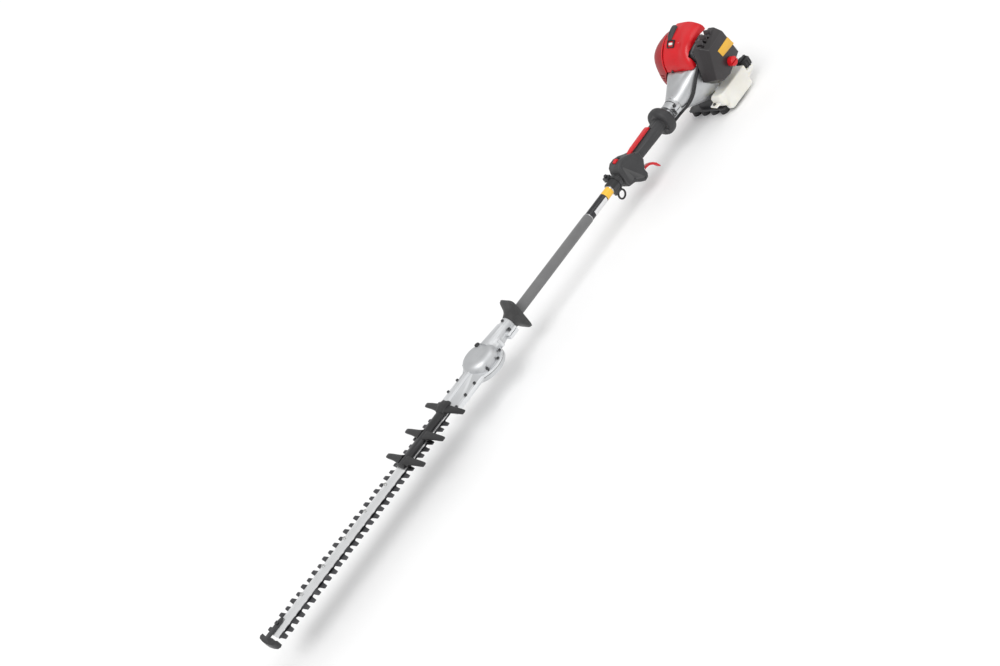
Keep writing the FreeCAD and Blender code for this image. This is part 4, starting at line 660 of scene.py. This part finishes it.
def make_engine_details():
    """Castings, stand and starter, with the seals, bosses, screws and ribs that the CAD leaves out."""
    polished("clutch_case", 0.9)
    polished("engine_stand", 2.2, segments=3)
    polished("recoil_housing", 1.2)
    polished("starter_handle", 1.0)
    for node in ("crankcase", "cylinder", "muffler", "carburettor"):
        polished(node, 0.5)
    # dark seal line round the clamp, small moulded frame, then flank bosses with screws
    seal = turned("clamp_seal", [(0, 22.4), (0.6, 23.5), (1.8, 23.5), (2.4, 22.4)], (1663, 0, 0), (1, 0, 0))
    piece(seal, "black")
    frame_piece = brick("casting_frame", (1672, -9, 22), (1683, 3, 27.2))
    carved(frame_piece, brick("frame_room", (1673.6, -7.4, 18), (1681.4, 1.4, 40)))
    piece(bevelled(frame_piece, 0.3, 2), "cast")
    flank_places = ((1772, -53, 33), (1775, -60, 14), (1776, -61, -10), (1768, -48, -45))
    for index, (x, y, z) in enumerate(flank_places):
        outward = Vector((-0.75, -0.62, 0.1))
        boss = turned("flank_boss_%d" % index, [(-8, 6.6), (1.6, 6.2), (2.4, 5.2)], (x, y, z), outward)
        piece(boss, "cast")
        screw_head("flank_screw_%d" % index, Vector((x, y, z)) + outward.normalized() * 2.2, outward, 3.6)
    for index, (y, z) in enumerate(((-52, -40), (-30, -60), (0, -67), (40, -54))):
        boss = turned("rim_boss_%d" % index, [(-16, 5.2), (0, 5.2), (0.8, 4.4)],
                      (1768, y * 0.985, z * 0.985), (-1, 0, 0), 32)
        piece(boss, "cast")
    rim = turned("case_rim", [(0, CASE_RIM - 1.6), (0.8, CASE_RIM), (5.2, CASE_RIM), (6, CASE_RIM - 1.6)],
                 (1779, 0, 0), (1, 0, 0), 120)
    carved(rim, brick("rim_trim", (1770, -80, CASE_TOP), (1800, 80, 90)))
    piece(rim, "cast", sharp_degrees=30)
    # ribbed grey bumper at the stand's left end
    for k in range(4):
        rib = brick("stand_bumper_%d" % k, (1800 + 5.2 * k, -63.5, -106), (1804 + 5.2 * k, -52, -88))
        piece(bevelled(rib, 1.1, 3), "bumper")
    # starter rope
    rope = rod("starter_rope", (1880, 34, 25), (0, 1, 0), 1.5, 20, 16)
    dressed(rope, "rope")
    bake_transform(rope)


# ---------------------------------------------------------------- shaft and handles

def make_handles():
    """Grip sleeve, blank decals and rings on the tube, harness clamp, rear grip and its controls."""
    sleeve = polished("grip_sleeve", 0.6)
    polished("main_tube", 0.3)
    polished("hand_guard", 2.0, segments=3, degrees=25)
    polished("harness_clamp", 1.0, segments=3)
    for name, start, end, radius, look in (("tube_decal", DECAL_START, DECAL_END, 12.3, "decal"),
                                           ("tube_band", BAND_START, BAND_END, 12.35, "orange")):
        ring = turned(name, [(0, TUBE_SKIN), (0, radius), (end - start, radius), (end - start, TUBE_SKIN)],
                      (start, 0, 0), (1, 0, 0), 72)
        if look == "decal":
            bare_side = [(-30, -30), (-2, -30), (-7.5, 4.5), (-30, 6)]
            gap = slab(name + "_gap", bare_side, start + 14, end - 2, "X")
            carved(ring, gap)
        piece(ring, look, sharp_degrees=30)
    silver = turned("band_ring", [(0, TUBE_SKIN), (0, 12.9), (3, 12.9), (3, TUBE_SKIN)],
                    (BAND_END + 0.4, 0, 0), (1, 0, 0), 72)
    piece(silver, "tube")
    for node, bevel in (("rear_grip_left", 1.6), ("rear_grip_right", 1.6)):
        grip = bevelled(copy_of(node, node + "_body"), bevel, 3, 40)
        piece(grip, NODE_LOOK[node], NODE_BODY[node], (node,), 62)
    for node in ("throttle_trigger", "lockout_lever", "stop_switch"):
        polished(node, 1.1, segments=3)
    for node in ("clamp_screws", "small_screws", "grease_plug"):
        polished(node, 0.3)
    keep_near("grip_screws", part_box("rear_grip_left")[0].x + SCREWS_KEPT)


def keep_near(node, limit_x):
    """The node's screws as far as a place along X; the ones beyond it stand clear of the moulding."""
    screws = bevelled(copy_of(node, node + "_body"), 0.3, 2)
    work = bmesh.new()
    work.from_mesh(screws.data)
    bmesh.ops.delete(work, geom=[v for v in work.verts if v.co.x > limit_x], context="VERTS")
    work.to_mesh(screws.data)
    work.free()
    return piece(screws, NODE_LOOK[node], NODE_BODY[node], (node,))


# ---------------------------------------------------------------- cutting head

def make_head():
    """Gear case with its screws and seam, then bar, guard, tip protector and blades."""
    low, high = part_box("crown_gear")
    centre = (low + high) / 2
    screws = bevelled(copy_of("gear_case_screws", "gear_case_screws_body"), 0.3, 2)
    for vert in screws.data.vertices:
        if vert.co.x < centre.x - HOLDER_SCREWS:
            vert.co.z -= HOLDER_DROP
    piece(screws, "dark_steel", NODE_BODY["gear_case_screws"], ("gear_case_screws",))
    below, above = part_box("gear_case_cover")
    flange = (above.y - below.y) * 500
    axis = (TUBE_START + (centre.x - TUBE_LOW.x) * 1000, 0, (above.z - ORIGIN.z) * 1000 - 0.6)
    seam = turned("flange_seam", [(0, flange - 0.5), (0.2, flange + 0.3), (1.0, flange + 0.3),
                                  (1.2, flange - 0.5)], axis, (0, 0, 1), 120)
    piece(seam, "dark_steel")
    for node, bevel in (("gear_case", 1.0), ("gear_case_cover", 0.8), ("tip_protector", 1.4),
                        ("blade_guard", 1.0), ("guide_bar", 0.35), ("blade_bolts", 0.3),
                        ("blade_nuts", 0.3)):
        polished(node, bevel, segments=3)
    for node in ("upper_blade", "lower_blade"):
        polished(node, 0.7, segments=1)


# ---------------------------------------------------------------- frame, camera, floor and light

def dress_frame():
    """Every CAD node that stays visible gets its own material."""
    for node, obj in frame["nodes"].items():
        obj.data.materials.clear()
        obj.data.materials.append(LOOKS[NODE_LOOK[node]])


def make_camera():
    """The viewpoint that the part is drawn from, in tool millimetres."""
    data = bpy.data.cameras.new("camera")
    data.lens = LENS
    data.sensor_width = SENSOR
    data.clip_end = 50
    obj = link(bpy.data.objects.new("camera", data))
    right = Vector(LOOK_RIGHT).normalized()
    forward = Vector(LOOK_FORWARD).normalized()
    up = right.cross(forward).normalized()
    right = forward.cross(up)
    turn = Matrix((right, up, -forward)).transposed().to_4x4()
    obj.matrix_world = Matrix.Translation(mm(*EYE)) @ turn
    bpy.context.scene.camera = obj


def make_floor():
    half = FLOOR_REACH
    corners = [(-half, -half, 0), (half, -half, 0), (half, half, 0), (-half, half, 0)]
    obj = built("floor", corners, [(0, 1, 2, 3)])
    look = Nodes("floor_paper")
    tone = look.blend(look.spread(look.noise(400, 2), 0, 1), (0.95, 0.95, 0.95), (0.93, 0.93, 0.93))
    obj.data.materials.append(look.finish(tone, look.spread(look.noise(60, 3), 0.8, 0.9)))


def sun(name, direction, strength, softness):
    data = bpy.data.lights.new(name, "SUN")
    data.energy = strength
    data.angle = math.radians(softness)
    obj = link(bpy.data.objects.new(name, data))
    obj.rotation_euler = Vector(direction).to_track_quat("-Z", "Y").to_euler()


def make_light():
    world = bpy.data.worlds.new("studio")
    bpy.context.scene.world = world
    world.use_nodes = True
    background = world.node_tree.nodes["Background"]
    background.inputs["Color"].default_value = (1, 1, 1, 1)
    background.inputs["Strength"].default_value = SKY_STRENGTH
    sun("key", (0.62, 0.45, -1.0), 1.15, 30)
    sun("fill", (-0.9, 0.6, -1.0), 0.45, 40)
    bpy.context.scene.view_settings.view_transform = "Standard"


# ---------------------------------------------------------------- build

make_camera()
make_floor()
make_light()
dress_frame()
make_head()
make_handles()
make_engine_cover()
make_heat_cover()
make_air_cleaner()
make_tank()
make_conduit()
make_engine_details()
